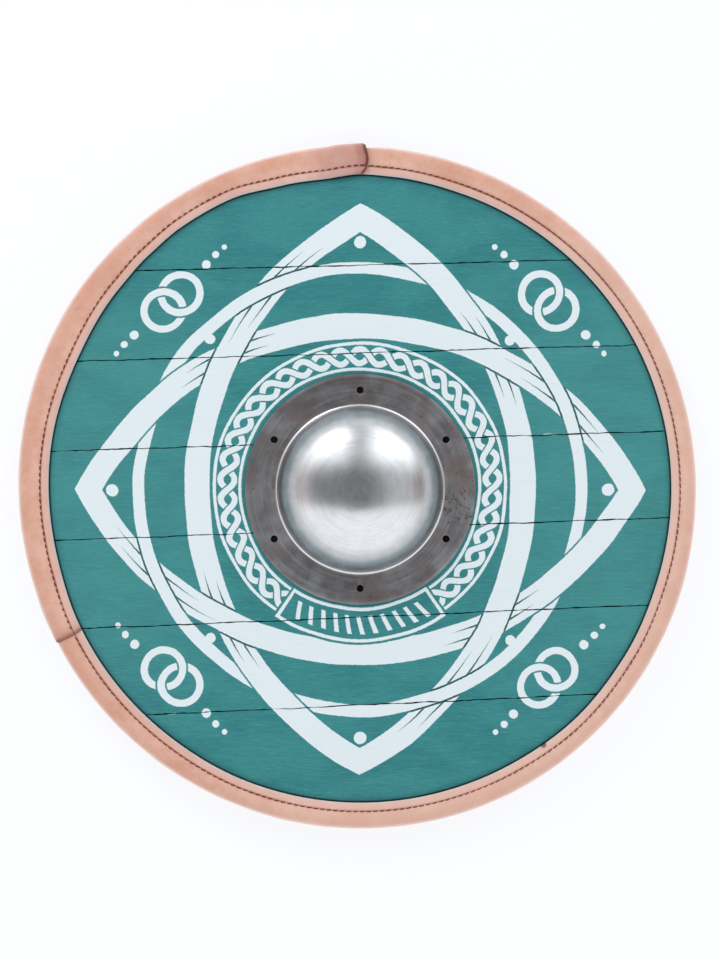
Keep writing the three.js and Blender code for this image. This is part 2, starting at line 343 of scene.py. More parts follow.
class Finish:
    """One material, or the light all round, with its shader and the nodes that feed it."""

    def __init__(self, owner, shader="Principled BSDF", **constants):
        owner.use_nodes = True
        self.material = owner
        self.tree = owner.node_tree
        self.shader = self.tree.nodes[shader]
        for socket, value in constants.items():
            self.shader.inputs[socket.replace("_", " ")].default_value = value

    def node(self, kind, settings=None, values=None, output=0):
        node = self.tree.nodes.new(kind)
        for name, value in (settings or {}).items():
            if name == "stops":
                self.set_stops(node.color_ramp, value)
            elif name == "smooth":
                node.color_ramp.interpolation = "EASE"
            else:
                setattr(node, name, value)
        for key, value in (values or {}).items():
            if isinstance(value, Shade):
                self.tree.links.new(value.socket, node.inputs[key])
            else:
                node.inputs[key].default_value = value
        return Shade(self, node.outputs[output])

    def set_stops(self, ramp, stops):
        while len(ramp.elements) < len(stops):
            ramp.elements.new(0.5)
        for element, (place, tint) in zip(ramp.elements, stops):
            element.position = place
            element.color = tint

    def feed(self, **links):
        for name, shade in links.items():
            self.tree.links.new(shade.socket, self.shader.inputs[name.replace("_", " ")])

    def vector(self, operation, first, second, output=0):
        values = {0: first, 1: second}
        if operation == "SCALE":
            values = {0: first, "Scale": second}
        return self.node("ShaderNodeVectorMath", {"operation": operation}, values, output)

    def place(self):
        """The point on the piece, in millimetres."""
        coordinates = self.node("ShaderNodeTexCoord", output="Object")
        return self.vector("SCALE", coordinates, 1 / MM)

    def parts(self, vector):
        split = self.node("ShaderNodeSeparateXYZ", None, {0: vector})
        node = split.socket.node
        return [Shade(self, output) for output in node.outputs]

    def combine(self, x, y, z):
        return self.node("ShaderNodeCombineXYZ", None, {0: x, 1: y, 2: z})

    def attribute(self, name):
        return self.node("ShaderNodeAttribute", {"attribute_name": name}, output="Fac")

    def noise(self, place, size, detail=2.0, roughness=0.5, output=0):
        values = {"Vector": place, "Scale": 1.0 / size, "Detail": detail, "Roughness": roughness}
        return self.node("ShaderNodeTexNoise", None, values, output)

    def mix(self, share, first, second):
        values = {0: share, 6: first, 7: second}
        return self.node("ShaderNodeMix", {"data_type": "RGBA"}, values, 2)

    def layers(self, body, *coats):
        """A colour with others laid over it in turn, each by its own share."""
        for share, coat in coats:
            body = self.mix(share, body, coat)
        return body

    def rise(self, value, low, high):
        """0 below low, 1 above high."""
        values = {"Value": value, "From Min": low, "From Max": high}
        return self.node("ShaderNodeMapRange", {"interpolation_type": "SMOOTHSTEP"}, values)

    def bump(self, height, distance, strength):
        values = {"Height": height, "Distance": distance * MM, "Strength": strength}
        return self.node("ShaderNodeBump", None, values)


def least(first, second):
    return first.sum("MINIMUM", first, second)


def most(first, second):
    return first.sum("MAXIMUM", first, second)


def colour(red, green, blue):
    """A colour as it looks on a screen, from 0 to 255, in the linear values that nodes take."""
    def linear(value):
        share = value / 255
        return share / 12.92 if share < 0.04045 else ((share + 0.055) / 1.055) ** 2.4
    return (linear(red), linear(green), linear(blue), 1.0)


def grey(value):
    return (value, value, value, 1.0)


# How far the leather's edge on the face strays inwards, in millimetres, at angles in degrees.
EDGE_DRIFT = (
    (0, 0.8), (30, 0.2), (50, 0.1), (70, -0.4), (84, -1.8), (89.1, -2.6), (96, 0.0), (104, -1.2),
    (114, -5.0), (124, -4.6), (132, -2.9), (140, -1.3), (156, 0.8), (170, 0.0), (195, 1.6),
    (207, 0.3), (216, 0.1), (232, 0.0), (250, -1.0), (285, -1.2), (300, -1.4), (312, -2.2),
    (328, -0.6), (342, 0.9), (360, 0.8),
)
DRIFT_RANGE = 20.0  # from black to white, where the drift is held in a ramp of greys


# The painted pattern, in millimetres about the middle of the boss

PAINT_EDGE = 0.5
UNDER_GAP = 1.6
LOBE_OFFSET = 130.0
LOBE_RADIUS = 276.0
LOBE_HALF = 11.0
LOBE_DOT_PLACE = 222.0
LOBE_DOT_RADIUS = 5.5
RING_RADIUS = 198.0
RING_HALF = 5.5
# The thin lines at a crossing. They lie either side of the band's middle, at its half width
# divided by the last of these.
CUT_LENGTH = 15.0
CUT_HALF = 0.8
CUT_DIVISOR = 2.6
LINK_PLACE = 238.0
LINK_RADIUS = 17.0
LINK_APART = 10.5
LINK_HALF = 3.2
# Dots beside the linked rings: how far from the middle, how far to the side, and the size.
SIDE_DOTS = ((244.0, 45.0, 4.2), (247.0, 58.0, 3.3), (249.0, 69.0, 2.5))
# Dots between the linked rings and the boss: how far from the middle, and the size.
INNER_DOTS = ((190.0, 4.6), (177.0, 3.2))
PLAIT_RADIUS = 119.5
PLAIT_CROSSINGS = 21
PLAIT_SWING = 6.3
PLAIT_HALF = 2.7
PLAIT_GAP = 1.3
BORDER_LINES = (108.0, 131.0)
BORDER_LINE_HALF = 1.4
PANEL_RADIUS = 121.0
PANEL_HALF_WIDTH = 15.5
PANEL_HALF_LENGTH = math.radians(34) * PANEL_RADIUS
PANEL_CLEARANCE = 2.2
PANEL_FRAME = 3.0
PANEL_MARGIN = 9.0
STROKE_COUNT = 11
STROKE_PITCH = 2 * (PANEL_HALF_LENGTH - PANEL_MARGIN) / STROKE_COUNT
STROKE_HALF = 2.0
STROKE_REACH = 8.0
STROKE_LEAN = 0.3
# The brush's waver: how long its waves are, and how far it goes.
BRUSH_WAVER = ((75.0, 6.0), (3.0, 0.8))


def soft(value):
    scaled = value / PAINT_EDGE + 0.5
    return least(most(scaled, 0.0), 1.0)


def band(distance, half):
    return soft(half - abs(distance))


def length(first, second):
    return (first * first + second * second).apply("SQRT")


def bearing(x, y):
    """The angle of a point, counter-clockwise from X."""
    return y.sum("ARCTAN2", y, x)


def folded(x, y, count, turn):
    """The same wedge again and again round the middle: how far out, and how far to its side."""
    step = FULL_TURN / count
    angle = bearing(x, y) - turn
    angle = angle - (angle / step).apply("ROUND") * step
    radius = length(x, y)
    return radius * angle.apply("COSINE"), radius * angle.apply("SINE")


def cut_marks(side, beyond, half):
    """Two tapered lines that run from a crossing into the band, as the brush leaves them."""
    along = least(most(beyond / CUT_LENGTH, 0.0), 1.0)
    line = soft(CUT_HALF * (1.0 - along) - abs(abs(side) - half / CUT_DIVISOR))
    return line * soft(beyond) * (along < 1.0)


def lobes(x, y):
    """Four pointed lobes, woven with each other and with a ring: the bands, the dark lines."""
    u, v = folded(x, y, 4, 0.0)
    up = v > 0.0
    down = 1.0 - up
    own = length(u, abs(v) + LOBE_OFFSET) - LOBE_RADIUS
    cross = length(u + LOBE_OFFSET, v) - LOBE_RADIUS
    ring = length(x, y) - RING_RADIUS
    own_gap = band(own, LOBE_HALF + UNDER_GAP)
    cross_gap = band(cross, LOBE_HALF + UNDER_GAP)
    ring_gap = band(ring, RING_HALF + UNDER_GAP)
    own_marks = most(
        cut_marks(own, abs(cross) - (LOBE_HALF + UNDER_GAP), LOBE_HALF) * down,
        cut_marks(own, abs(ring) - (RING_HALF + UNDER_GAP), LOBE_HALF) * up,
    )
    cross_marks = cut_marks(cross, abs(own) - (LOBE_HALF + UNDER_GAP), LOBE_HALF) * up
    own_hidden = most(most(cross_gap * down, ring_gap * up), own_marks)
    cross_hidden = most(own_gap * up, cross_marks)
    own_band = band(own, LOBE_HALF)
    cross_band = band(cross, LOBE_HALF)
    own_paint = own_band * (1.0 - own_hidden)
    cross_paint = cross_band * (1.0 - cross_hidden)
    lines = most(own_band * own_hidden, cross_band * cross_hidden)
    ring_paint = band(ring, RING_HALF) * (1.0 - own_gap * down)
    dot = band(length(u - LOBE_DOT_PLACE, v), LOBE_DOT_RADIUS)
    return most(most(own_paint, cross_paint), most(ring_paint, dot)), lines


def links(x, y):
    """A pair of linked rings between two lobes, with a row of dots either side."""
    u, v = folded(x, y, 4, math.pi / 4)
    out = u - LINK_PLACE
    front = out > 0.0
    first = length(out, v - LINK_APART) - LINK_RADIUS
    second = length(out, v + LINK_APART) - LINK_RADIUS
    first_gap = band(first, LINK_HALF + UNDER_GAP)
    second_gap = band(second, LINK_HALF + UNDER_GAP)
    first_paint = band(first, LINK_HALF) * (1.0 - second_gap * (1.0 - front))
    second_paint = band(second, LINK_HALF) * (1.0 - first_gap * front)
    paint = most(first_paint, second_paint)
    angle = abs(bearing(u, v))
    radius = length(u, v)
    for place, along, size in SIDE_DOTS:
        paint = most(paint, band(length(radius - place, angle * place - along), size))
    for place, size in INNER_DOTS:
        paint = most(paint, band(length(u - place, v), size))
    return paint


def border(x, y):
    """A two-strand plait between two thin lines, all round the boss."""
    angle = bearing(x, y)
    radius = length(x, y)
    wave = angle * float(PLAIT_CROSSINGS)
    sway = PLAIT_SWING * wave.apply("SINE")
    slope = (PLAIT_SWING * PLAIT_CROSSINGS / PLAIT_RADIUS) * wave.apply("COSINE")
    squeeze = (slope * slope + 1.0).apply("SQRT")
    first = (radius - PLAIT_RADIUS - sway) / squeeze
    second = (radius - PLAIT_RADIUS + sway) / squeeze
    over = slope > 0.0
    first_hidden = band(second, PLAIT_HALF + PLAIT_GAP) * (1.0 - over)
    second_hidden = band(first, PLAIT_HALF + PLAIT_GAP) * over
    first_paint = band(first, PLAIT_HALF) * (1.0 - first_hidden)
    second_paint = band(second, PLAIT_HALF) * (1.0 - second_hidden)
    inner_line, outer_line = (band(radius - r, BORDER_LINE_HALF) for r in BORDER_LINES)
    return most(most(first_paint, second_paint), most(inner_line, outer_line))


def panel(x, y):
    """The curved panel below the boss: what it covers, and the strokes and frame in it."""
    angle = bearing(-y, x)
    out = length(x, y) - PANEL_RADIUS
    along = angle * PANEL_RADIUS

    def inside(margin):
        return band(out, PANEL_HALF_WIDTH + margin) * band(along, PANEL_HALF_LENGTH + margin)

    field = inside(-PANEL_FRAME)
    cell = along / STROKE_PITCH + 0.5
    cell = cell.apply("FLOOR")
    across = along - cell * STROKE_PITCH - STROKE_LEAN * out
    stroke = band(across, STROKE_HALF) * band(out, STROKE_REACH)
    stroke = stroke * (abs(cell) < STROKE_COUNT / 2)
    return inside(PANEL_CLEARANCE), inside(0.0) * (1.0 - field) + stroke * field


def painted_pattern(x, y):
    """How white the paint is, and how dark the thin lines are."""
    covered, strokes = panel(x, y)
    bands, lines = lobes(x, y)
    pattern = most(most(bands, links(x, y)), border(x, y))
    white = pattern * (1.0 - covered) + strokes
    return white, lines * (1.0 - white) * (1.0 - covered)


def by_hand(finish, flat):
    """The place on the face, as far off as the brush was from the drawn line."""
    drawn = flat
    for size, reach in BRUSH_WAVER:
        waver = finish.noise(flat, size, 1.0, 0.5, "Color")
        waver = finish.vector("SUBTRACT", waver, (0.5, 0.5, 0.5))
        drawn = finish.vector("ADD", drawn, finish.vector("SCALE", waver, reach))
    return drawn


# Materials

PINE_PALE = colour(222, 188, 142)
PINE_LATE = colour(186, 132, 80)
PINE_FIBRE = colour(170, 126, 84)
PINE_DEEP = colour(190, 142, 92)
PINE_HANDLED = colour(134, 94, 60)


def pine(finish, place, along, board):
    """Colour and height of planed pine whose grain runs along X or Y."""
    x, y, z = finish.parts(place)
    far, side = (x, y) if along == "x" else (y, x)
    drawn = finish.combine(far * 0.0035, side * 0.020, z * 0.02 + board * 7.0)
    drift = finish.noise(drawn, 1.0, 1.0, 0.4)
    rings = side * 0.10 + drift * 14.0 + board * 3.0 + z * 0.05
    rings = rings - rings.apply("FLOOR")
    late = finish.rise(rings, 0.40, 0.90) * (1.0 - finish.rise(rings, 0.91, 1.0))
    fibres = finish.noise(finish.combine(far * 0.012, side * 1.4, z * 1.4), 1.0, 3.0, 0.65)
    tone = finish.noise(place, 90.0, 2.0)
    body = finish.layers(
        PINE_PALE,
        (late * 0.60, PINE_LATE),
        (fibres * 0.35, PINE_FIBRE),
        (tone * 0.25 + board * 0.30, PINE_DEEP),
    )
    return body, late * 0.4 + fibres * 0.8


TEAL_DEEP = colour(50, 129, 133)
TEAL_LIGHT = colour(68, 151, 152)
TEAL_MIDDLE = colour(58, 140, 143)
TEAL_DARK = colour(42, 106, 110)
TEAL_PALE = colour(92, 164, 162)
TEAL_INK = colour(20, 76, 82)
CHALK = colour(236, 247, 251)
CHALK_THIN = colour(176, 208, 214)
RIM_SHADE = colour(12, 42, 45)
CHIP_PALE = colour(158, 202, 202)
# Painted shade, with some dirt, for the depth of the seams' grooves.
GROOVE_DIRT_AND_SHADE = colour(8, 34, 38)


def inside_rim(finish, x, y):
    """How far inside the leather's edge a point of the face lies."""
    angle = bearing(x, y)
    turn = angle / FULL_TURN + (angle < 0.0)
    stops = [(degrees / 360, grey(drift / DRIFT_RANGE + 0.5)) for degrees, drift in EDGE_DRIFT]
    ramp = finish.node("ShaderNodeValToRGB", {"stops": stops, "smooth": True}, {0: turn})
    drift = (ramp - 0.5) * DRIFT_RANGE
    return FACE_EDGE_RADIUS - drift - length(x - FACE_SHIFT.x, y - FACE_SHIFT.y)


def painted_wood():
    finish = Finish(bpy.data.materials.new("painted_boards"), Specular_IOR_Level=0.22)
    place = finish.place()
    board = finish.attribute("board")
    x, y, z = finish.parts(place)
    about_boss = finish.vector("SUBTRACT", place, FACE_SHIFT)
    flat = finish.vector("MULTIPLY", about_boss, (1.0, 1.0, 0.0))
    drawn_x, drawn_y, _ = finish.parts(by_hand(finish, flat))
    white, lines = painted_pattern(drawn_x, drawn_y)

    streaks = finish.noise(finish.combine(x * 0.035, y * 0.45, board * 5.0), 1.0, 4.0, 0.65)
    fine = finish.noise(finish.combine(x * 0.11, y * 1.3, board * 9.0), 1.0, 3.0, 0.65)
    cloud = finish.noise(finish.combine(x * 0.02, y * 0.035, board * 3.0), 1.0, 3.0)
    speckle = finish.noise(place, 1.5, 2.0, 0.7)
    # Lighter teal to the left and right of the boss, less towards the top and bottom.
    paler_left_and_right = finish.rise(abs(x), 80.0, 190.0) * (1.0 - finish.rise(abs(y), 110.0, 230.0))
    teal = finish.layers(
        TEAL_DEEP,
        (finish.rise(streaks, 0.32, 0.70), TEAL_MIDDLE),
        (finish.rise(cloud, 0.35, 0.65) * 0.6, TEAL_LIGHT),
        (finish.rise(fine, 0.50, 0.75) * 0.40, TEAL_DARK),
        (finish.rise(fine, 0.46, 0.28) * 0.6, TEAL_PALE),
        (finish.rise(speckle, 0.52, 0.75) * 0.25, TEAL_DARK),
        (paler_left_and_right * 0.25, TEAL_PALE),
    )
    thin = finish.rise(streaks * 0.5 + fine * 0.3 + speckle * 0.2, 0.53, 0.70)
    chalk = finish.mix(thin * 0.25, CHALK, CHALK_THIN)
    inside = inside_rim(finish, x, y) + (speckle - 0.5) * 0.8
    narrow_shade = (1.0 - finish.rise(inside, 0.2, 2.4)) * 0.85
    wide_shade = (1.0 - finish.rise(inside, 0.5, 7.0)) * 0.26
    paint = finish.layers(
        teal,
        (white, chalk),
        (lines * 0.85, TEAL_INK),
        (narrow_shade + wide_shade, RIM_SHADE),
    )

    wood, relief = pine(finish, place, "x", board)
    ragged_edge = finish.noise(place, 6.0, 2.0)
    on_face = finish.rise(z + ragged_edge * 2.0, PLANK_TOP - 2.2, PLANK_TOP - 1.4)
    chipped = finish.rise(finish.attribute("bare") + (fine + speckle - 1.0) * 0.8, 0.62, 0.8)
    coated = on_face * (1.0 - chipped)
    above_back = finish.rise(z, PLANK_BOTTOM + 0.1, PLANK_BOTTOM + 0.8)
    at_face = finish.rise(z + chipped * 0.8, PLANK_TOP - 1.0, PLANK_TOP - 0.15)
    # Painted shade, with some dirt: the paint goes dark down in each seam's groove, below the
    # face.
    groove_dirt_and_shade = finish.attribute("groove") * above_back * (1.0 - at_face)
    skin = finish.layers(
        wood,
        (chipped * 0.8, CHIP_PALE),
        (coated, paint),
        (groove_dirt_and_shade * 0.95, GROOVE_DIRT_AND_SHADE),
    )
    finish.feed(Base_Color=skin)
    finish.feed(Roughness=0.62 - coated * 0.06 + fine * 0.12)
    height = fine * 0.5 + streaks * 0.6 + speckle * 0.3 + relief * 0.25
    finish.feed(Normal=finish.bump(height, 0.2, 0.6))
    return finish.material


def bare_wood():
    finish = Finish(bpy.data.materials.new("planed_pine"), Specular_IOR_Level=0.4)
    place = finish.place()
    board = finish.attribute("board")
    body, relief = pine(finish, place, "y", board)
    handled = finish.rise(finish.noise(place, 24.0, 3.0), 0.45, 0.75)
    finish.feed(Base_Color=finish.mix(handled * 0.25, body, PINE_HANDLED))
    finish.feed(Roughness=0.42 + relief * 0.2)
    finish.feed(Normal=finish.bump(relief, 0.25, 0.8))
    return finish.material


HIDE = colour(226, 171, 149)
HIDE_LIGHT = colour(239, 190, 171)
HIDE_DRAWN = colour(222, 154, 128)
HIDE_PALE_PATCH = colour(236, 202, 188)
HIDE_DARK_PATCH = colour(204, 146, 124)
HIDE_INNER = colour(232, 192, 182)
HIDE_GROOVE = colour(146, 88, 70)
HIDE_BEND = colour(214, 150, 124)
# Painted reflection: the pale tone of the rim's rounded outer edge.
HIDE_OUTER_SHEEN = colour(238, 220, 216)
HIDE_RAW = colour(214, 210, 211)
HIDE_PALER = colour(244, 206, 190)
HIDE_DARKER = colour(196, 148, 142)
HIDE_BURNISHED = colour(190, 130, 116)
HIDE_SOAKED = colour(138, 76, 74)
HIDE_TIP = colour(112, 48, 40)
HIDE_STAIN = colour(58, 42, 44)
HIDE_SCUFF = colour(196, 138, 116)
STITCH_LINE = 8.6  # how far across the strip the stitches run
STAIN_PLACE = (166.4, -229.8, 28.5)
DARK_PLACE = (-14.0, 292.0)


def rim_leather():
    """Tanned hide. Across is the way over the strip, from its edge on the face to the back."""
    finish = Finish(bpy.data.materials.new("tanned_leather"), Specular_IOR_Level=0.4)
    place = finish.place()
    across = finish.attribute("across")
    joint = finish.attribute("joint")
    x, y, z = finish.parts(place)
    mottle = finish.noise(place, 34.0, 4.0, 0.6)
    patches = finish.noise(place, 7.0, 4.0, 0.6)
    pores = finish.node("ShaderNodeTexVoronoi", None, {"Vector": place, "Scale": 1.15}, 0)
    grain = finish.noise(place, 0.9, 3.0, 0.6)
    drawn = finish.noise(finish.vector("MULTIPLY", place, (1.0, 1.0, 0.2)), 15.0, 4.0, 0.65)
    scuffs = finish.noise(finish.vector("MULTIPLY", place, (0.05, 0.05, 0.3)), 1.0, 4.0, 0.7)
    raw = 1.0 - finish.rise(across + (patches - 0.5) * 0.8, 2.0, 3.0)
    inner = finish.rise(across, 2.2, 3.4) * (1.0 - finish.rise(across, 6.6, 7.4))
    groove = 1.0 - finish.rise(abs(across - STITCH_LINE), 0.4, 1.2)
    bend = finish.rise(across, 13.0, 20.0) * (1.0 - finish.rise(across, 24.0, 27.0))
    # Painted reflection: the rounded outer edge is made paler, standing for the pale floor seen
    # in it at a grazing angle.
    outer_sheen = finish.rise(across, 24.0, 28.0) * (1.0 - finish.rise(across, 38.0, 44.0))
    paler = finish.rise(x * 0.9 - y * 0.5, -40.0, 150.0)
    from_dark_place = length(x - DARK_PLACE[0], y - DARK_PLACE[1])
    darker = 1.0 - finish.rise(from_dark_place + patches * 14.0, 14.0, 46.0)
    burnish = finish.rise(joint + (patches - 0.5) * 0.25, 0.1, 1.0)
    soaked = finish.rise(joint + (drawn - 0.5) * 0.5, 0.62, 0.95)
    tip = finish.rise(joint + (patches - 0.5) * 0.10, 0.870, 0.935)
    at_side_joint = finish.rise(-x, 150.0, 200.0)
    from_stain = finish.vector("DISTANCE", place, STAIN_PLACE, "Value")
    stain = 1.0 - finish.rise(from_stain + patches * 2.0, 2.6, 5.2)
    hide = finish.layers(
        HIDE,
        (finish.rise(mottle, 0.3, 0.7), HIDE_LIGHT),
        (finish.rise(drawn, 0.46, 0.70) * 0.40, HIDE_DRAWN),
        (finish.rise(patches, 0.52, 0.76) * 0.35, HIDE_PALE_PATCH),
        (finish.rise(patches, 0.46, 0.28) * 0.30, HIDE_DARK_PATCH),
        (inner * 0.55, HIDE_INNER),
        (groove * 0.65, HIDE_GROOVE),
        (bend * (0.1 + drawn * 0.35), HIDE_BEND),
        (outer_sheen * 0.7, HIDE_OUTER_SHEEN),
        (raw * 0.9, HIDE_RAW),
        (paler * 0.38, HIDE_PALER),
        (darker * 0.55, HIDE_DARKER),
        (burnish * 0.45, HIDE_BURNISHED),
        (soaked * 0.4, HIDE_SOAKED),
        (tip * (0.9 - at_side_joint * 0.45), HIDE_TIP),
        (stain * 0.85, HIDE_STAIN),
        (finish.rise(scuffs, 0.62, 0.75) * 0.3, HIDE_SCUFF),
    )
    finish.feed(Base_Color=hide)
    finish.feed(Roughness=0.50 + grain * 0.16 - burnish * 0.12)
    height = grain * 0.4 + pores * 0.35 + patches * 0.9
    finish.feed(Normal=finish.bump(height, 0.28, 0.8))
    return finish.material


THREAD_DARK = colour(96, 34, 24)
THREAD_LIGHT = colour(146, 64, 46)


def thread():
    finish = Finish(bpy.data.materials.new("waxed_thread"), Specular_IOR_Level=0.5)
    place = finish.place()
    ply = finish.noise(place, 0.5, 1.0)
    finish.feed(Base_Color=finish.mix(ply, THREAD_DARK, THREAD_LIGHT))
    finish.feed(Roughness=0.5 + ply * 0.15)
    return finish.material


STEEL_BRIGHT = (0.78, 0.79, 0.81, 1.0)
STEEL_RINGED = (0.60, 0.61, 0.64, 1.0)
STEEL_SWIRL = (0.46, 0.47, 0.49, 1.0)
STEEL_HANDLED = (0.48, 0.50, 0.52, 1.0)
# Painted reflection, with some smudging: the dark tone at the dome's foot.
STEEL_FOOT_SMUDGE_AND_REFLECTION = (0.30, 0.31, 0.325, 1.0)
STEEL_DARK = (0.22, 0.213, 0.222, 1.0)
STEEL_GREY = (0.38, 0.380, 0.396, 1.0)
STEEL_WORN = (0.54, 0.54, 0.55, 1.0)
STEEL_WARM = (0.27, 0.208, 0.200, 1.0)
STEEL_PALE = (0.44, 0.45, 0.455, 1.0)
RUST = colour(78, 50, 46)
FLANGE_FROM = (75.4, 76.4)
FRECKLED_PLACE = (88.0, -16.0)


def boss_steel():
    """Spun and polished steel on the dome, mill scale and freckles of rust on the flange."""
    finish = Finish(bpy.data.materials.new("spun_steel"), Anisotropic=0.5)
    place = finish.place()
    x, y, z = finish.parts(finish.vector("SUBTRACT", place, FACE_SHIFT))
    radius = length(x, y)
    angle = bearing(x, y)
    on_flange = finish.rise(radius, *FLANGE_FROM)
    on_dome = 1.0 - on_flange

    rings = finish.noise(finish.combine(radius * 1.4, angle * 0.8, 0.0), 1.0, 3.0, 0.7)
    hair = finish.noise(finish.combine(radius * 5.0, angle * 2.5, 3.0), 1.0, 2.0, 0.6)
    swirls = finish.noise(finish.combine(radius * 0.30, angle * 1.3, 8.0), 1.0, 3.0, 0.65)
    near_apex = 0.42 - finish.rise(radius, 10.0, 32.0) * 0.20
    handled = finish.rise(finish.noise(place, 13.0, 3.0, 0.6), 0.42, 0.68)
    foot = finish.rise(radius, 48.0, 69.0) * (1.0 - finish.rise(radius, 73.6, 74.4))
    # Painted reflection, with some smudging: the dome darkens towards its foot, most in a band to
    # its left and right, where darker surroundings would show in it.
    smudge_and_reflection = finish.noise(finish.combine(x * 0.10, y * 0.10, z * 0.05), 1.0, 3.0, 0.6)
    dark_reflection_band = 1.0 - finish.rise(abs(y), 18.0, 56.0)
    smudge_and_reflection = 0.42 + finish.rise(smudge_and_reflection, 0.25, 0.75) * 0.28 + dark_reflection_band * 0.22
    bright = finish.layers(
        STEEL_BRIGHT,
        (rings * 0.3, STEEL_RINGED),
        (finish.rise(swirls, 0.42, 0.72) * near_apex, STEEL_SWIRL),
        (handled * 0.20, STEEL_HANDLED),
        (foot * smudge_and_reflection, STEEL_FOOT_SMUDGE_AND_REFLECTION),
    )

    scale = finish.noise(place, 16.0, 4.0, 0.6)
    specks = finish.noise(place, 3.4, 3.0, 0.6)
    arcs = finish.noise(finish.combine(radius * 0.35, angle * 1.1, 5.0), 1.0, 3.0, 0.6)
    blotch = finish.noise(place, 26.0, 3.0)
    from_freckles = length(x - FRECKLED_PLACE[0], y - FRECKLED_PLACE[1])
    freckled = 1.0 - finish.rise(from_freckles, 8.0, 28.0)
    rust = finish.rise(specks + freckled * 0.15 + (blotch - 0.5) * 0.25, 0.665, 0.735)
    dark = finish.layers(
        STEEL_DARK,
        (finish.rise(scale * 0.5 + arcs * 0.5, 0.35, 0.65), STEEL_GREY),
        (finish.rise(arcs * 0.6 + hair * 0.4, 0.56, 0.70) * 0.35, STEEL_WORN),
        (finish.rise(blotch, 0.42, 0.68) * 0.7, STEEL_WARM),
        (finish.rise(blotch, 0.44, 0.30) * 0.4, STEEL_PALE),
        # Painted shade: the flange darker towards its left side.
        (finish.rise(-x, 72.0, 96.0) * 0.35, STEEL_DARK),
        (rust * 0.75, RUST),
    )
    finish.feed(Base_Color=finish.mix(on_flange, bright, dark))
    finish.feed(Metallic=1.0 - rust * on_flange * 0.6)
    polished = 0.16 + rings * 0.10 + foot * 0.14
    finish.feed(Roughness=polished * on_dome + on_flange * (0.34 + scale * 0.16 + rust * 0.25))
    height = on_dome * (rings * 0.35 + hair * 0.15) + on_flange * (specks * 0.8 + hair * 0.3)
    finish.feed(Normal=finish.bump(height, 0.03, 0.7))
    return finish.material


IRON_BLACK = colour(5, 4, 4)
IRON_GREY = colour(16, 14, 14)
IRON_BROWN = colour(44, 26, 20)


def nail_iron():
    finish = Finish(bpy.data.materials.new("blackened_iron"), Specular_IOR_Level=0.05)
    place = finish.place()
    grain = finish.noise(place, 1.1, 3.0, 0.6)
    patch = finish.rise(finish.noise(place, 5.0, 2.0), 0.5, 0.7)
    body = finish.layers(IRON_BLACK, (grain, IRON_GREY), (patch * 0.35, IRON_BROWN))
    finish.feed(Base_Color=body)
    finish.feed(Roughness=0.55 + grain * 0.2)
    finish.feed(Normal=finish.bump(grain, 0.15, 0.8))
    return finish.material


PAINTED_WOOD = painted_wood()
BARE_WOOD = bare_wood()
RIM_LEATHER = rim_leather()
THREAD = thread()
BOSS_STEEL = boss_steel()
NAIL_IRON = nail_iron()


# Planks

BOARD_SIDES = 240
CROSS_CUT = 4.0
CROSS_CUT_COUNT = 75  # to either side of the middle
CROSS_SHIFT = 0.37  # keeps the cuts off the corners of the round
PLANK_EDGE = 0.4  # how wide the sawn edges are eased
HOLED_PLANKS = (3, 4, 5)
PARTED_PLANK = 4
SEAM_COUNT = PLANK_COUNT - 1
SEAM_LINES = (0.08, 1.1, 4.5)
LIP_WEAR = 1.4
GLUED = 0.12  # how far each plank reaches over in the depth of a seam, where they are glued
LIPS = (("lower_lip", -1, 7.0), ("upper_lip", 1, 5.0))
# A chip: which seam, above or below it, from where to where along it, and how deep and wide.
CHIPS = (
    (2, -1, -256.0, -214.0, 0.6, 0.7),
    (2, 1, -212.0, -200.0, 0.6, 0.7),
    (3, -1, -237.0, -227.0, 0.6, 0.7),
    (1, -1, 131.0, 139.0, 0.5, 0.7),
    (1, -1, 142.0, 149.0, 0.6, 0.7),
    (2, 1, 167.0, 178.0, 0.5, 0.7),
    (2, -1, 183.0, 204.0, 0.6, 0.7),
    (5, 1, -178.0, -160.0, 0.5, 0.7),
)


def seam_line(index):
    """A seam's slope, and its height at the middle of the face."""
    slope = TOP_SEAM_SLOPE + index * SEAM_SLOPE_STEP
    return slope, SEAM_SHIFT + ((PLANK_COUNT - 2) / 2 - index) * PLANK_WIDTH


def seam_distance(index, place):
    """How far a point lies above a seam's middle line, square to it."""
    slope, middle = seam_line(index)
    return (place.y - middle - slope * place.x) / math.hypot(1, slope)


def nearest_seam(place):
    return min((seam_distance(i, place) for i in range(SEAM_COUNT)), key=abs)


def cut_line(point, normal):
    bpy.ops.mesh.select_all(action="SELECT")
    bpy.ops.mesh.bisect(plane_co=Vector(point) * MM, plane_no=normal)


def board_disc():
    """The face of all the boards, cut along the seams and across them."""
    start()
    bpy.ops.mesh.primitive_circle_add(
        vertices=BOARD_SIDES,
        radius=BOARD_RADIUS * MM,
        fill_type="NGON",
        location=(0, 0, PLANK_TOP * MM),
    )
    disc = settle("boards")
    enter(disc)
    for index in range(SEAM_COUNT):
        slope, middle = seam_line(index)
        square = Vector((-slope, 1, 0)).normalized()
        for offset in SEAM_LINES:
            for side in (-1, 1):
                cut_line(Vector((0, middle, PLANK_TOP)) + square * offset * side, square)
    for step in range(-CROSS_CUT_COUNT, CROSS_CUT_COUNT + 1):
        cut_line((step * CROSS_CUT + CROSS_SHIFT, 0, PLANK_TOP), (1, 0, 0))
    choose(disc, lambda p: abs(nearest_seam(p)) < 0.2, "faces")
    bpy.ops.mesh.delete(type="FACE")

    def as_built(place):
        far = ease(place.length, 290.0, 301.0)
        stretch = 1 + far * out_of_round(math.atan2(place.y, place.x)) / BOARD_RADIUS
        return Vector((place.x * stretch, place.y * stretch, place.z))

    reshape(disc, as_built)
    return disc


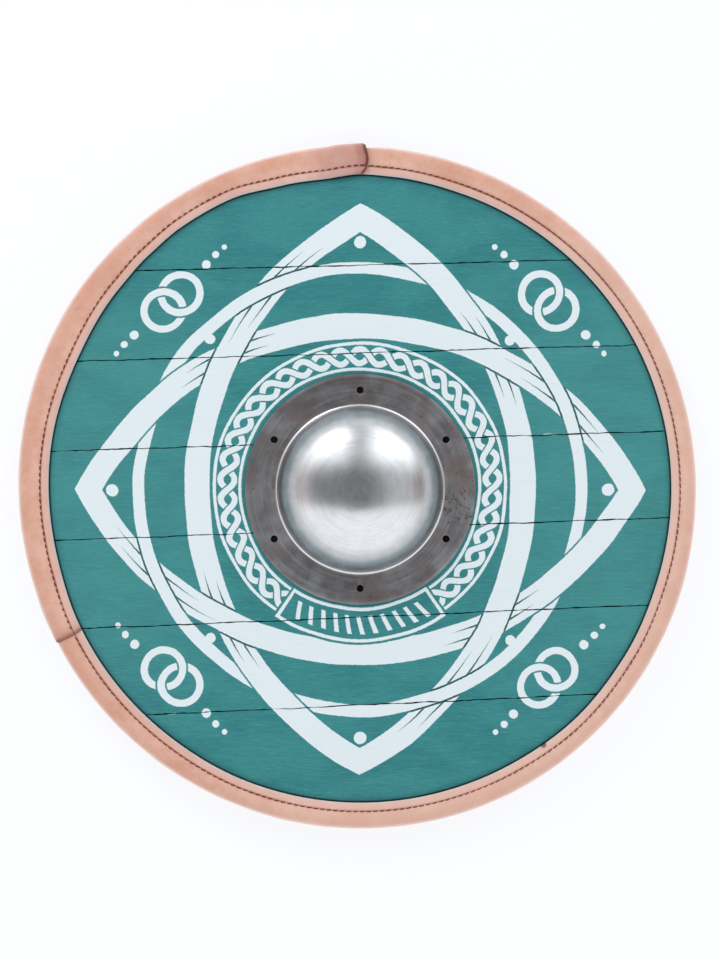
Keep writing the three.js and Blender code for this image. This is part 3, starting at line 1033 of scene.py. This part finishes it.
def waver_seams(disc):
    """Marks both lips of each seam while they are straight, then lets the seams wander."""
    weigh(disc, "waver", lambda p: 1.0 - ease(abs(nearest_seam(p)), 1.5, 20.0))
    weigh(disc, "lower_lip", lambda p: float(-0.5 < nearest_seam(p) < 0))
    weigh(disc, "upper_lip", lambda p: float(0 < nearest_seam(p) < 0.5))
    finish_with(
        disc,
        "DISPLACE",
        texture=unevenness("waver", 26.0),
        vertex_group="waver",
        direction="Y",
        strength=1.5 * MM,
        mid_level=0.5,
    )


def open_seams(plank):
    """Wears the edges apart on both faces, so that each seam is a groove of uneven width."""
    start()
    places = [v.co.z / MM for v in plank.data.vertices]
    inside = [i for i, z in enumerate(places) if PLANK_BOTTOM + 1 < z < PLANK_TOP - 1]
    for name, side, size in LIPS:
        finish_with(
            plank,
            "DISPLACE",
            vertex_group=name,
            direction="Y",
            strength=-side * GLUED * MM,
            mid_level=0.0,
        )
        plank.vertex_groups[name].remove(inside)
        finish_with(
            plank,
            "DISPLACE",
            texture=unevenness(name, size),
            vertex_group=name,
            direction="Y",
            strength=side * LIP_WEAR * MM,
            mid_level=0.12,
        )
    plank.vertex_groups.clear()


def chip(plank, seam, side, low, high, depth, width):
    """Takes a splinter out of a plank's upper edge."""
    def in_chip(place):
        off = seam_distance(seam, place) * side
        return low < place.x < high and -0.6 < off < width and place.z > PLANK_TOP - 1.2

    enter(plank)
    if choose(plank, in_chip):
        bpy.ops.transform.translate(value=(0, 0, -depth * MM))
    start()


def islands(piece):
    """The parts of a piece that don't touch each other, as pieces of their own."""
    enter(piece)
    before = set(bpy.data.objects)
    bpy.ops.mesh.separate(type="LOOSE")
    start()
    return [piece, *(o for o in bpy.data.objects if o not in before)]


def planks():
    disc = board_disc()
    waver_seams(disc)
    boards = islands(disc)
    boards.sort(key=lambda o: -sum(v.co.y for v in o.data.vertices) / len(o.data.vertices))
    made = []
    for number, plank in enumerate(boards, start=1):
        enter(plank)
        for _ in range(2):
            bpy.ops.mesh.extrude_region_move(
                TRANSFORM_OT_translate={"value": (0, 0, -PLANK_THICKNESS / 2 * MM)}
            )
        tidy_shell()
        open_seams(plank)
        if number in HOLED_PLANKS:
            low, high = PLANK_BOTTOM - 2, PLANK_TOP + 2
            cut_away(plank, drum("hand_hole", HAND_HOLE_RADIUS, low, high, FACE_SHIFT, 96))
        if number == PARTED_PLANK:
            left, right = sorted(islands(plank), key=lambda o: o.data.vertices[0].co.x)
            made += [("plank_4_left", left), ("plank_4_right", right)]
        else:
            made.append((f"plank_{number}", plank))
    for name, plank in made:
        call(plank, name + "_painted")
        ease_edges(plank, PLANK_EDGE, 50)
        for details in CHIPS:
            chip(plank, *details)
        tone = random.random()
        mark(plank, "board", lambda p, tone=tone: tone)
        mark(plank, "bare", bare_share)
        mark(plank, "groove", lambda p: float(abs(nearest_seam(p)) < 2.0))
        smooth(plank, 30)
        dress(plank, PAINTED_WOOD, "painted_wood", name)


def bare_share(place):
    """1 where a chip has taken the paint away."""
    if not PLANK_TOP - 3 < place.z < PLANK_TOP - 0.2:
        return 0.0
    for seam, side, low, high, _, width in CHIPS:
        off = seam_distance(seam, place) * side
        if low < place.x < high and -0.8 < off < width + 0.3:
            return 1.0
    return 0.0


# Boss

BOSS_SIDES = 180
DOME_STEPS = 40
FILLET_STEPS = 8
FLANGE_RINGS = (80.0, 86.0, 92.0, 99.0, FLANGE_RADIUS)
STEEL_EDGE = 0.35  # how wide the cut edges are eased
NAIL_BEND = 2.2
# The top of a nail's head, above its widest place, in steps of height and radius.
NAIL_CROWN = 0.1
NAIL_TOP = ((NAIL_CROWN, 2.7), (0.05, 1.4))
# The bent end of a nail: parts of its length, and how much each one shrinks.
NAIL_POINT = ((0.55, 0.8), (0.42, 0.5), (0.03, 0.4))


def boss():
    middle = FLANGE_TOP + DOME_FILLET
    across = DOME_FOOT_RADIUS - DOME_FILLET
    rise = BOSS_HEIGHT - DOME_FILLET
    profile = []
    for step in range(DOME_STEPS + 1):
        angle = math.pi / 2 * step / DOME_STEPS
        profile.append((across * math.sin(angle), middle + rise * math.cos(angle)))
    for step in range(1, FILLET_STEPS + 1):
        angle = math.pi + math.pi / 2 * step / FILLET_STEPS
        radius = DOME_FOOT_RADIUS + DOME_FILLET * math.cos(angle)
        profile.append((radius, middle + DOME_FILLET * math.sin(angle)))
    for radius in FLANGE_RINGS:
        profile.append((radius, FLANGE_TOP))
    points = [(FACE_SHIFT.x + r, FACE_SHIFT.y, z) for r, z in profile]
    piece = trace("boss_dome_and_flange", points)
    bpy.ops.mesh.select_all(action="SELECT")
    spin(BOSS_SIDES, FULL_TURN, FACE_SHIFT)
    tidy_shell()
    wall = BOSS_THICKNESS * MM
    finish_with(piece, "SOLIDIFY", thickness=wall, offset=-1.0, use_even_offset=True)
    for x, y, _ in nail_places():
        start()
        taper = (NAIL_HEAD_RADIUS - NAIL_SHANK_RADIUS) / BOSS_THICKNESS
        bpy.ops.mesh.primitive_cone_add(
            vertices=28,
            radius1=(NAIL_SHANK_RADIUS + FIT_GAP - taper) * MM,
            radius2=(NAIL_HEAD_RADIUS + FIT_GAP + taper) * MM,
            depth=(BOSS_THICKNESS + 2) * MM,
            location=Vector((x, y, (FLANGE_BOTTOM + FLANGE_TOP) / 2)) * MM,
        )
        cut_away(piece, settle("countersink"))
    ease_edges(piece, STEEL_EDGE, 50)
    smooth(piece, 40)
    dress(piece, BOSS_STEEL, "boss_steel", "boss")


def nail_places():
    for index in range(NAIL_COUNT):
        angle = math.pi / 2 + FULL_TURN * index / NAIL_COUNT
        x = FACE_SHIFT.x + NAIL_CIRCLE_RADIUS * math.cos(angle)
        y = FACE_SHIFT.y + NAIL_CIRCLE_RADIUS * math.sin(angle)
        yield x, y, angle


def nail(name, x, y, angle, underside):
    """A countersunk nail whose end is bent over outwards at the back."""
    head_top = FLANGE_TOP - NAIL_HEAD_RECESS
    leg_middle = underside - FIT_GAP - NAIL_LEG_RADIUS
    low = leg_middle + NAIL_BEND
    piece = drum(name, NAIL_SHANK_RADIUS, low, FLANGE_BOTTOM, (x, y), 20)
    middle = Vector((x, y, 0))
    out = Vector((math.cos(angle), math.sin(angle), 0))
    enter(piece)
    choose(piece, lambda p: p.z > FLANGE_BOTTOM - 0.01, "faces")
    to_rim = head_top - NAIL_CROWN - FLANGE_BOTTOM
    for height, radius in ((to_rim, NAIL_HEAD_RADIUS), *NAIL_TOP):
        bpy.ops.mesh.extrude_region_move(TRANSFORM_OT_translate={"value": (0, 0, height * MM)})
        mesh = bmesh.from_edit_mesh(piece.data)
        reach = max(((v.co / MM - middle).to_2d().length for v in mesh.verts if v.select))
        bpy.ops.transform.resize(
            value=(radius / reach, radius / reach, 1),
            center_override=middle * MM,
        )
    choose(piece, lambda p: p.z < low + 0.01, "faces")
    thinner = NAIL_LEG_RADIUS / NAIL_SHANK_RADIUS
    bpy.ops.transform.resize(value=(thinner, thinner, 1))
    pivot = middle + out * NAIL_BEND + Vector((0, 0, low))
    spin(6, math.pi / 2, pivot, out.cross(Vector((0, 0, 1))))
    far = NAIL_LEG_LENGTH - NAIL_BEND
    for share, size in NAIL_POINT:
        bpy.ops.mesh.extrude_region_move(TRANSFORM_OT_translate={"value": out * far * share * MM})
        bpy.ops.transform.resize(value=(size, size, size))
    tidy_shell()
    smooth(piece, 40)
    return piece


def nails():
    for index, (x, y, angle) in enumerate(nail_places(), start=1):
        under_grip = abs(x - FACE_SHIFT.x) < GRIP_WIDTH / 2
        underside = BACK_TOP - GRIP_THIN_THICKNESS if under_grip else PLANK_BOTTOM
        piece = nail(f"nail_{index}", x, y, angle, underside)
        dress(piece, NAIL_IRON, "nail_iron", f"boss_nail_{index}")


# Grip and battens

def bar(name, x, half, width, thickness, cuts):
    start()
    bpy.ops.mesh.primitive_cube_add(
        size=1,
        location=Vector((x, 0, BACK_TOP - thickness / 2)) * MM,
        scale=Vector((width, 2 * half, thickness)) * MM,
    )
    piece = settle(name)
    enter(piece)
    for y in cuts:
        cut_line((0, y, 0), (0, 1, 0))
    return piece


def shape_stretch(piece, x, inside, width_share, drop):
    """Narrows or widens a stretch of a bar, and moves its lower face."""
    choose(piece, lambda p: inside(p.y))
    bpy.ops.transform.resize(value=(width_share, 1, 1), center_override=Vector((x, 0, 0)) * MM)
    choose(piece, lambda p: inside(p.y) and p.z < BACK_TOP - 1)
    bpy.ops.transform.translate(value=(0, 0, -drop * MM))


def round_edges(piece, rules, width):
    for test, share in rules:
        choose(piece, test, "edges")
        bpy.ops.transform.edge_bevelweight(value=share)
    finish_with(piece, "BEVEL", width=width * MM, segments=4, limit_method="WEIGHT")


def half_length(offset, width):
    return math.sqrt((BACK_EDGE_RADIUS - BACK_CLEARANCE) ** 2 - (abs(offset) + width / 2) ** 2)


def along_bar(a, b):
    return abs(a.x - b.x) + abs(a.z - b.z) < 0.35 * abs(a.y - b.y)


GRIP_SWELL = 1.04  # how much wider the handle is in its middle
# Tones of the wood, which its finish reads.
GRIP_TONE = 0.37
BATTEN_TONES = {-1: 0.3, 1: 0.7}


def grip():
    x = FACE_SHIFT.x
    y = FACE_SHIFT.y
    half = half_length(x, GRIP_END_WIDTH)
    shoulder = (HAND_HOLE_RADIUS + NAIL_CIRCLE_RADIUS - NAIL_SHANK_RADIUS) / 2
    handle = HAND_HOLE_RADIUS - GRIP_HANDLE_ROUND
    thin_from = half - GRIP_END_LENGTH
    cuts = (-thin_from, y - shoulder, y - handle, y - handle / 2, y, y + handle / 2,
            y + handle, y + shoulder, thin_from)
    piece = bar("carved_grip", x, half, GRIP_WIDTH, GRIP_THIN_THICKNESS, cuts)
    drop = GRIP_THICKNESS - GRIP_THIN_THICKNESS
    share = GRIP_HANDLE_WIDTH / GRIP_WIDTH
    shape_stretch(piece, x, lambda v: abs(v - y) < handle + 1, share, drop)
    shape_stretch(piece, x, lambda v: abs(v - y) < handle / 2 + 1, GRIP_SWELL, 0.0)
    rise = GRIP_END_THICKNESS - GRIP_THIN_THICKNESS
    shape_stretch(piece, x, lambda v: abs(v) > half - 1, GRIP_END_WIDTH / GRIP_WIDTH, rise)

    def on_handle(a, b):
        return along_bar(a, b) and max(abs(a.y - y), abs(b.y - y)) < handle + 1

    round_edges(piece, ((lambda a, b: True, 0.3), (on_handle, 0.7)), GRIP_HANDLE_ROUND)
    mark(piece, "board", lambda p: GRIP_TONE)
    smooth(piece, 30)
    dress(piece, BARE_WOOD, "bare_wood", "grip")


def battens():
    def lower(a, b):
        return min(a.z, b.z) < BACK_TOP - 1

    half = half_length(BATTEN_OFFSET, BATTEN_WIDTH)
    thin_from = half - BATTEN_END_LENGTH
    cuts = (-thin_from, thin_from)
    rise = BATTEN_END_THICKNESS - BATTEN_THICKNESS
    for name, side in (("batten_left", -1), ("batten_right", 1)):
        x = side * BATTEN_OFFSET
        piece = bar(name + "_planed", x, half, BATTEN_WIDTH, BATTEN_THICKNESS, cuts)
        shape_stretch(piece, x, lambda v: abs(v) > half - 1, 1.0, rise)
        round_edges(piece, ((lambda a, b: True, 0.4), (lower, 1.0)), BAR_EDGE_ROUND)
        mark(piece, "board", lambda p, side=side: BATTEN_TONES[side])
        smooth(piece, 30)
        dress(piece, BARE_WOOD, "bare_wood", name)


# Leather rim

RIM_STEP = math.radians(1.5)
# The strip's section, as (distance from the middle, height), from its edge on the face.
SKIN = (
    (279.2, 26.9), (279.5, 27.9), (280.2, 28.7), (281.2, 29.1), (283.0, 29.25), (285.3, 29.25),
    (286.3, 29.0), (287.1, 28.6), (287.9, 29.0), (288.9, 29.4), (291.5, 29.7), (295.0, 29.75),
    (298.2, 29.4), (300.9, 28.4), (303.0, 26.6), (304.4, 24.3), (305.0, 21.3), (304.4, 18.3),
    (303.0, 16.0), (300.9, 14.3), (298.2, 13.4), (294.5, 13.1), (289.0, 13.15), (287.9, 13.5),
    (287.1, 13.9), (286.3, 13.5), (285.2, 13.2), (281.0, 13.2), (278.4, 13.5), (277.4, 14.2),
    (277.0, 15.2),
)
LINING = (
    (277.3, 16.0), (283.0, 16.0), (290.0, 16.0), (297.0, 16.0), (301.6, 16.0), (302.4, 16.8),
    (302.4, 21.3), (302.4, 25.8), (301.6, 26.6), (297.0, 26.6), (290.0, 26.6), (283.0, 26.6),
    (279.9, 26.6),
)
# Parts of the section, between two heights or two distances from the middle.
FACE_ZONE = (19.0, 26.0)
BACK_ZONE = (16.0, 22.0)
FLAP_ZONE = (289.0, 302.0)
WEB_ZONE = (297.0, 302.0)
OVAL_ZONE = (289.0, 301.0)
TOP_SKIN = (27.4, 28.4)
BOTTOM_SKIN = (14.2, 15.2)
OUTER_SKIN = (302.8, 303.6)
# How far the middle of the short strip's ends reaches past their corners.
TOP_TONGUE = 5.6
SIDE_TONGUE = 1.6
TONGUE_MIDDLE = 292.0
TONGUE_HALF = 13.5
TOP_BULGE = 1.1  # how much farther out the short strip stands where it passes over the top joint
# How far the round strays from a circle, outwards along one line and inwards across it.
OVAL = 2.0
OVAL_TURN = math.radians(118)
# How far from its ends the short strip is bent and is darkened by wetting, as angles.
TOP_CURL = 0.09
SIDE_CURL = 0.06
TOP_WETTED = 0.085
SIDE_WETTED = 0.05
LEATHER_EDGE = 0.4
THREAD_RADIUS = 0.58
STITCH_LENGTH = 2.8
STITCH_DIP = (0.95, -0.5)  # each end of a stitch goes this far on and down
STITCH_TAPER = 0.62
THREAD_HEIGHTS = {1: 29.0, -1: 13.4}
LAST_STITCHES = 5.5  # this many before the side joint are shorter and stand higher
LAST_SIZE = 0.55
LAST_LIFT = 0.35


def out_of_round(angle):
    return OVAL * math.cos(2 * (angle - OVAL_TURN))


def edge_drift(angle):
    degrees = math.degrees(angle) % 360
    for (low, first), (high, second) in zip(EDGE_DRIFT, EDGE_DRIFT[1:]):
        if low <= degrees <= high:
            return first + (second - first) * ease(degrees, low, high)
    return 0.0


def face_edge_radius(angle):
    """Distance from the middle of the round to the leather's edge on the face."""
    along = FACE_SHIFT.x * math.cos(angle) + FACE_SHIFT.y * math.sin(angle)
    across = FACE_SHIFT.length_squared
    return along + math.sqrt(FACE_EDGE_RADIUS ** 2 - across + along ** 2) - edge_drift(angle)


def lift_at(angle):
    """How far the short strip is raised where it passes over the long one."""
    start_lift = 1.0 - ease(angle, TOP_JOINT + JOINT_LAP, TOP_JOINT + JOINT_LAP + JOINT_RAMP)
    end_lift = ease(angle, SIDE_JOINT - JOINT_LAP - 3 * JOINT_RAMP, SIDE_JOINT)
    return max(JOINT_LIFT * start_lift, END_LIFT * end_lift)


def pared_at(angle):
    """How much is pared off the long strip's ends, under the short one."""
    under = 1.0 - ease(angle, SIDE_JOINT - SKIVE_LENGTH / 3, SIDE_JOINT - TIP_WIDTH)
    beyond = 1.0 - ease(angle, SIDE_JOINT, SIDE_JOINT + SKIVE_LENGTH)
    last = ease(angle, TOP_JOINT + FULL_TURN - SKIVE_LENGTH, TOP_JOINT + FULL_TURN)
    return PARED_AWAY * max(0.8 * under + 0.2 * beyond, last)


def thinned_at(angle):
    """How much the short strip's lower end is thinned, so that it lies nearly flush."""
    return END_THINNED * ease(angle, SIDE_JOINT - SKIVE_LENGTH, SIDE_JOINT)


def turned(place, first):
    """The angle of a point, counted from just before the strip's first angle."""
    angle = math.atan2(place.y, place.x)
    while angle < first - 0.1:
        angle += FULL_TURN
    return angle


def across_strip(place):
    """How far along the section a point lies from the leather's edge on the face."""
    radius = math.hypot(place.x, place.y)
    best, found, run = 1e9, 0.0, 0.0
    for near, far in zip(SKIN, SKIN[1:]):
        gap = math.hypot(radius - near[0], place.z - near[1])
        if gap < best:
            best, found = gap, run
        run += math.hypot(far[0] - near[0], far[1] - near[1])
    return found


def folded_strip(name, first, last, raise_rule, pare_rule, on_top):
    section = [(r * math.cos(first), r * math.sin(first), z) for r, z in (*SKIN, *LINING)]
    piece = trace(name, section)
    ends = [Vector(section[0]), Vector(section[-1])]
    choose(piece, lambda p: min((p - end).length for end in ends) < 0.01)
    bpy.ops.mesh.edge_face_add()
    bpy.ops.mesh.select_all(action="SELECT")
    spin(math.ceil((last - first) / RIM_STEP), last - first)
    for end in (first, last):
        edge = Vector((-math.sin(end), math.cos(end), 0))
        near = Vector((math.cos(end), math.sin(end), 0))
        choose(piece, lambda p: abs(p.dot(edge)) < 0.05 and p.dot(near) > 0)
        bpy.ops.mesh.edge_face_add()
    if on_top:
        for angle in (first + TIP_WIDTH, last - TIP_WIDTH):
            cut_line((0, 0, 0), (-math.sin(angle), math.cos(angle), 0))
    tidy_shell()
    mark(piece, "across", across_strip)
    mark(piece, "joint", lambda p: joint_share(turned(p, first), first, last, on_top))
    ease_edges(piece, LEATHER_EDGE, 70)

    def pulled(place):
        angle = turned(place, first)
        radius = math.hypot(place.x, place.y)
        height = place.z
        lift = raise_rule(angle)
        pare = pare_rule(angle)
        face = ease(height, *FACE_ZONE)
        back = 1.0 - ease(height, *BACK_ZONE)
        flap = 1.0 - ease(radius, *FLAP_ZONE)
        web = ease(radius, *WEB_ZONE)
        on_skin = max(
            ease(height, *TOP_SKIN),
            1.0 - ease(height, *BOTTOM_SKIN),
            ease(radius, *OUTER_SKIN),
        )
        from_middle = radius - TONGUE_MIDDLE
        oval = ease(radius, *OVAL_ZONE) * out_of_round(angle)
        radius += flap * face * (face_edge_radius(angle) - FACE_EDGE_RADIUS)
        radius += web * (lift - pare * on_skin)
        radius += oval
        height += (face - back) * (lift - pare * on_skin)
        if on_top:
            near_first = 1.0 - ease(angle, first, first + TOP_CURL)
            near_last = ease(angle, last - SIDE_CURL, last)
            radius += web * near_first * TOP_BULGE
            tongue = max(0.0, 1.0 - (from_middle / TONGUE_HALF) ** 2)
            ragged = 0.4 * math.sin(from_middle * 1.9) + 0.3 * math.sin(from_middle * 4.7 + 1.0)
            angle -= near_first * face * (tongue * TOP_TONGUE + ragged) / TONGUE_MIDDLE
            angle += near_last * face * (tongue * SIDE_TONGUE + ragged * 0.5) / TONGUE_MIDDLE
        return Vector((radius * math.cos(angle), radius * math.sin(angle), height))

    def outside(place):
        return float(place.z > 28.0 or place.z < 14.6 or math.hypot(place.x, place.y) > 303.4)

    reshape(piece, pulled)
    weigh(piece, "outside", outside)
    finish_with(
        piece,
        "DISPLACE",
        texture=unevenness("hand_sewn", 22.0),
        vertex_group="outside",
        strength=0.9 * MM,
        mid_level=0.5,
    )
    smooth(piece, 40)
    return piece


def joint_share(angle, first, last, shows):
    """Rises to 1 at ends that lie on top, where the leather was wetted and rubbed."""
    if not shows:
        return 0.0
    start_share = 0.9 * (1.0 - ease(angle, first + TIP_WIDTH, first + TOP_WETTED))
    end_share = 0.9 * ease(angle, last - SIDE_WETTED, last - TIP_WIDTH)
    at_end = angle < first + TIP_WIDTH / 2 or angle > last - TIP_WIDTH / 2
    return max(start_share, end_share, float(at_end))


def one_stitch():
    """A short waxed thread that dips into the leather at both ends."""
    start()
    bpy.ops.mesh.primitive_cylinder_add(
        vertices=6,
        radius=THREAD_RADIUS * MM,
        depth=STITCH_LENGTH * MM,
    )
    piece = call(bpy.context.object, "stitch")
    enter(piece)
    bpy.ops.transform.rotate(value=math.pi / 2, orient_axis="X", center_override=(0, 0, 0))
    for side in (-1, 1):
        choose(piece, lambda p: p.y * side > 1.2 and abs(p.x) < 0.01 and abs(p.z) < 0.01, "faces")
        step = Vector((0, side * STITCH_DIP[0], STITCH_DIP[1])) * MM
        bpy.ops.mesh.extrude_region_move(TRANSFORM_OT_translate={"value": step})
        bpy.ops.transform.resize(value=(STITCH_TAPER, 1, STITCH_TAPER))
    tidy_shell()
    smooth(piece, 60)
    return piece


def tightness(angle):
    """How far the stitches are pulled down into the leather, most at the upper right."""
    place = math.degrees(angle) % 360
    return ease(place, 26, 38) * (1.0 - ease(place, 58, 66))


def stitch_row(name, pattern, first, last, lift_rule, side, thickness):
    """Copies of the stitch along a strip, side 1 on the face and -1 on the back."""
    count = round((last - first) * STITCH_RADIUS / STITCH_PITCH)
    copies = []
    for index in range(count):
        angle = first + (last - first) * (index + 0.5) / count
        radius = STITCH_RADIUS
        if side > 0:
            radius += face_edge_radius(angle) - FACE_EDGE_RADIUS
        height = THREAD_HEIGHTS[side] + side * lift_rule(angle)
        width = thickness - 0.25 * tightness(angle)
        lean = math.radians(random.uniform(4.5, 9)) * (1.0 - 0.7 * tightness(angle))
        size = random.uniform(0.92, 1.08)
        if 0 < SIDE_JOINT - angle < LAST_STITCHES * STITCH_PITCH / STITCH_RADIUS:
            size *= LAST_SIZE
            height += side * LAST_LIFT
        place = Matrix.Translation(
            Vector((radius * math.cos(angle), radius * math.sin(angle), height)) * MM
        )
        turn = Matrix.Rotation(angle + lean * side, 4, "Z")
        flip = Matrix.Rotation(math.pi if side < 0 else 0.0, 4, "Y")
        copy = pattern.copy()
        copy.data = pattern.data.copy()
        stretch = Matrix.Diagonal((width, size * (1.6 - 0.6 * width), 1.0, 1.0))
        copy.data.transform(place @ turn @ flip @ stretch)
        bpy.context.scene.collection.objects.link(copy)
        copies.append(copy)
    start()
    for copy in copies:
        copy.select_set(True)
    bpy.context.view_layer.objects.active = copies[0]
    bpy.ops.object.join()
    return call(bpy.context.object, name)


def rim():
    short = folded_strip("short_strip", TOP_JOINT, SIDE_JOINT, lift_at, thinned_at, True)
    dress(short, RIM_LEATHER, "rim_leather", "rim_leather_short")
    long = folded_strip(
        "long_strip",
        SIDE_JOINT - JOINT_LAP,
        TOP_JOINT + FULL_TURN + JOINT_LAP,
        lambda angle: 0.0,
        pared_at,
        False,
    )
    dress(long, RIM_LEATHER, "rim_leather", "rim_leather_long")
    stitch = one_stitch()
    margin = 3.0 / STITCH_RADIUS
    short_span = (TOP_JOINT - margin, SIDE_JOINT - margin)
    long_span = (SIDE_JOINT + margin, TOP_JOINT + FULL_TURN - 1.8 * margin)
    rows = (
        ("short", *short_span, lambda a: lift_at(a) - thinned_at(a), 1.25),
        ("long", *long_span, lambda a: -pared_at(a), 0.88),
    )
    for strip, first, last, rule, thickness in rows:
        for place, side in (("face", 1), ("back", -1)):
            name = f"stitches_{strip}_{place}"
            row = stitch_row(name, stitch, first, last, rule, side, thickness)
            dress(row, THREAD, "rim_leather")
    bpy.data.objects.remove(stitch)


planks()
boss()
nails()
grip()
battens()
rim()


# Floor, light and camera

FLOOR_GREY = (0.28, 0.28, 0.28, 1.0)
FLOOR_GLOW = (0.945, 0.97, 1.0, 1.0)
TENT_WHITE = (0.965, 0.985, 1.0, 1.0)
TENT_WARM = (1.0, 0.86, 0.84, 1.0)
VIEW_MIDDLE = (0.0025, 0.0066)
VIEW_HEIGHT = 0.8584
CAMERA_DISTANCE = 2.4
CAMERA_BASE = 0.029
SENSOR_WIDTH = 36


def floor():
    start()
    bpy.ops.mesh.primitive_plane_add(size=12)
    piece = settle("floor")
    finish = Finish(bpy.data.materials.new("pale_floor"), Roughness=0.9, Specular_IOR_Level=0.0)
    finish.shader.inputs["Base Color"].default_value = FLOOR_GREY
    finish.shader.inputs["Emission Color"].default_value = FLOOR_GLOW
    finish.shader.inputs["Emission Strength"].default_value = 0.78
    piece.data.materials.append(finish.material)


def studio_light():
    """A tent of light: dim overhead, two wide lamps at the top, a bright sheet at the bottom.

    Its lowest band is plain white all round.
    """
    world = bpy.data.worlds.new("studio")
    bpy.context.scene.world = world
    tent = Finish(world, "Background")
    x, y, z = tent.parts(tent.vector("NORMALIZE", tent.node("ShaderNodeTexCoord"), (0, 0, 0)))
    left = tent.rise(-x, 0.62, 0.90)
    right = tent.rise(x, 0.10, 0.62) - tent.rise(x, 0.74, 0.92) * 0.6
    apart = tent.rise(abs(x + 0.01), 0.03, 0.30) * 0.8 + 0.2
    high = tent.rise(y, 0.16, 0.66) * apart * (1.0 - tent.rise(abs(x), 0.72, 0.98) * 0.5)
    low = tent.rise(abs(x) * 0.12 - y, 0.27, 0.38)
    light = 0.20 + left * 0.38 + right * 0.34 + high * 1.40
    light = light + (1.13 - light) * low
    above = tent.rise(z, 0.19, 0.30)
    light = 0.97 + (light - 0.97) * above
    warm = tent.rise(abs(x), 0.68, 0.90) * (1.0 - tent.rise(abs(y), 0.12, 0.36)) * above
    tent.feed(Strength=light, Color=tent.mix(warm, TENT_WHITE, TENT_WARM))


def camera():
    data = bpy.data.cameras.new("camera")
    data.sensor_width = SENSOR_WIDTH
    data.lens = SENSOR_WIDTH * CAMERA_DISTANCE / VIEW_HEIGHT
    eye = bpy.data.objects.new("camera", data)
    bpy.context.scene.collection.objects.link(eye)
    eye.location = (*VIEW_MIDDLE, CAMERA_BASE + CAMERA_DISTANCE)
    bpy.context.scene.camera = eye


def lamp(name, place, size, power):
    data = bpy.data.lights.new(name, "AREA")
    data.size = size
    data.energy = power
    holder = bpy.data.objects.new(name, data)
    bpy.context.scene.collection.objects.link(holder)
    holder.location = place
    holder.rotation_euler = (-Vector(place)).to_track_quat("-Z", "Y").to_euler()


floor()
studio_light()
lamp("key", (-1.1, 1.95, 1.3), 0.7, 9)
camera()
bpy.context.scene.view_settings.view_transform = "Standard"
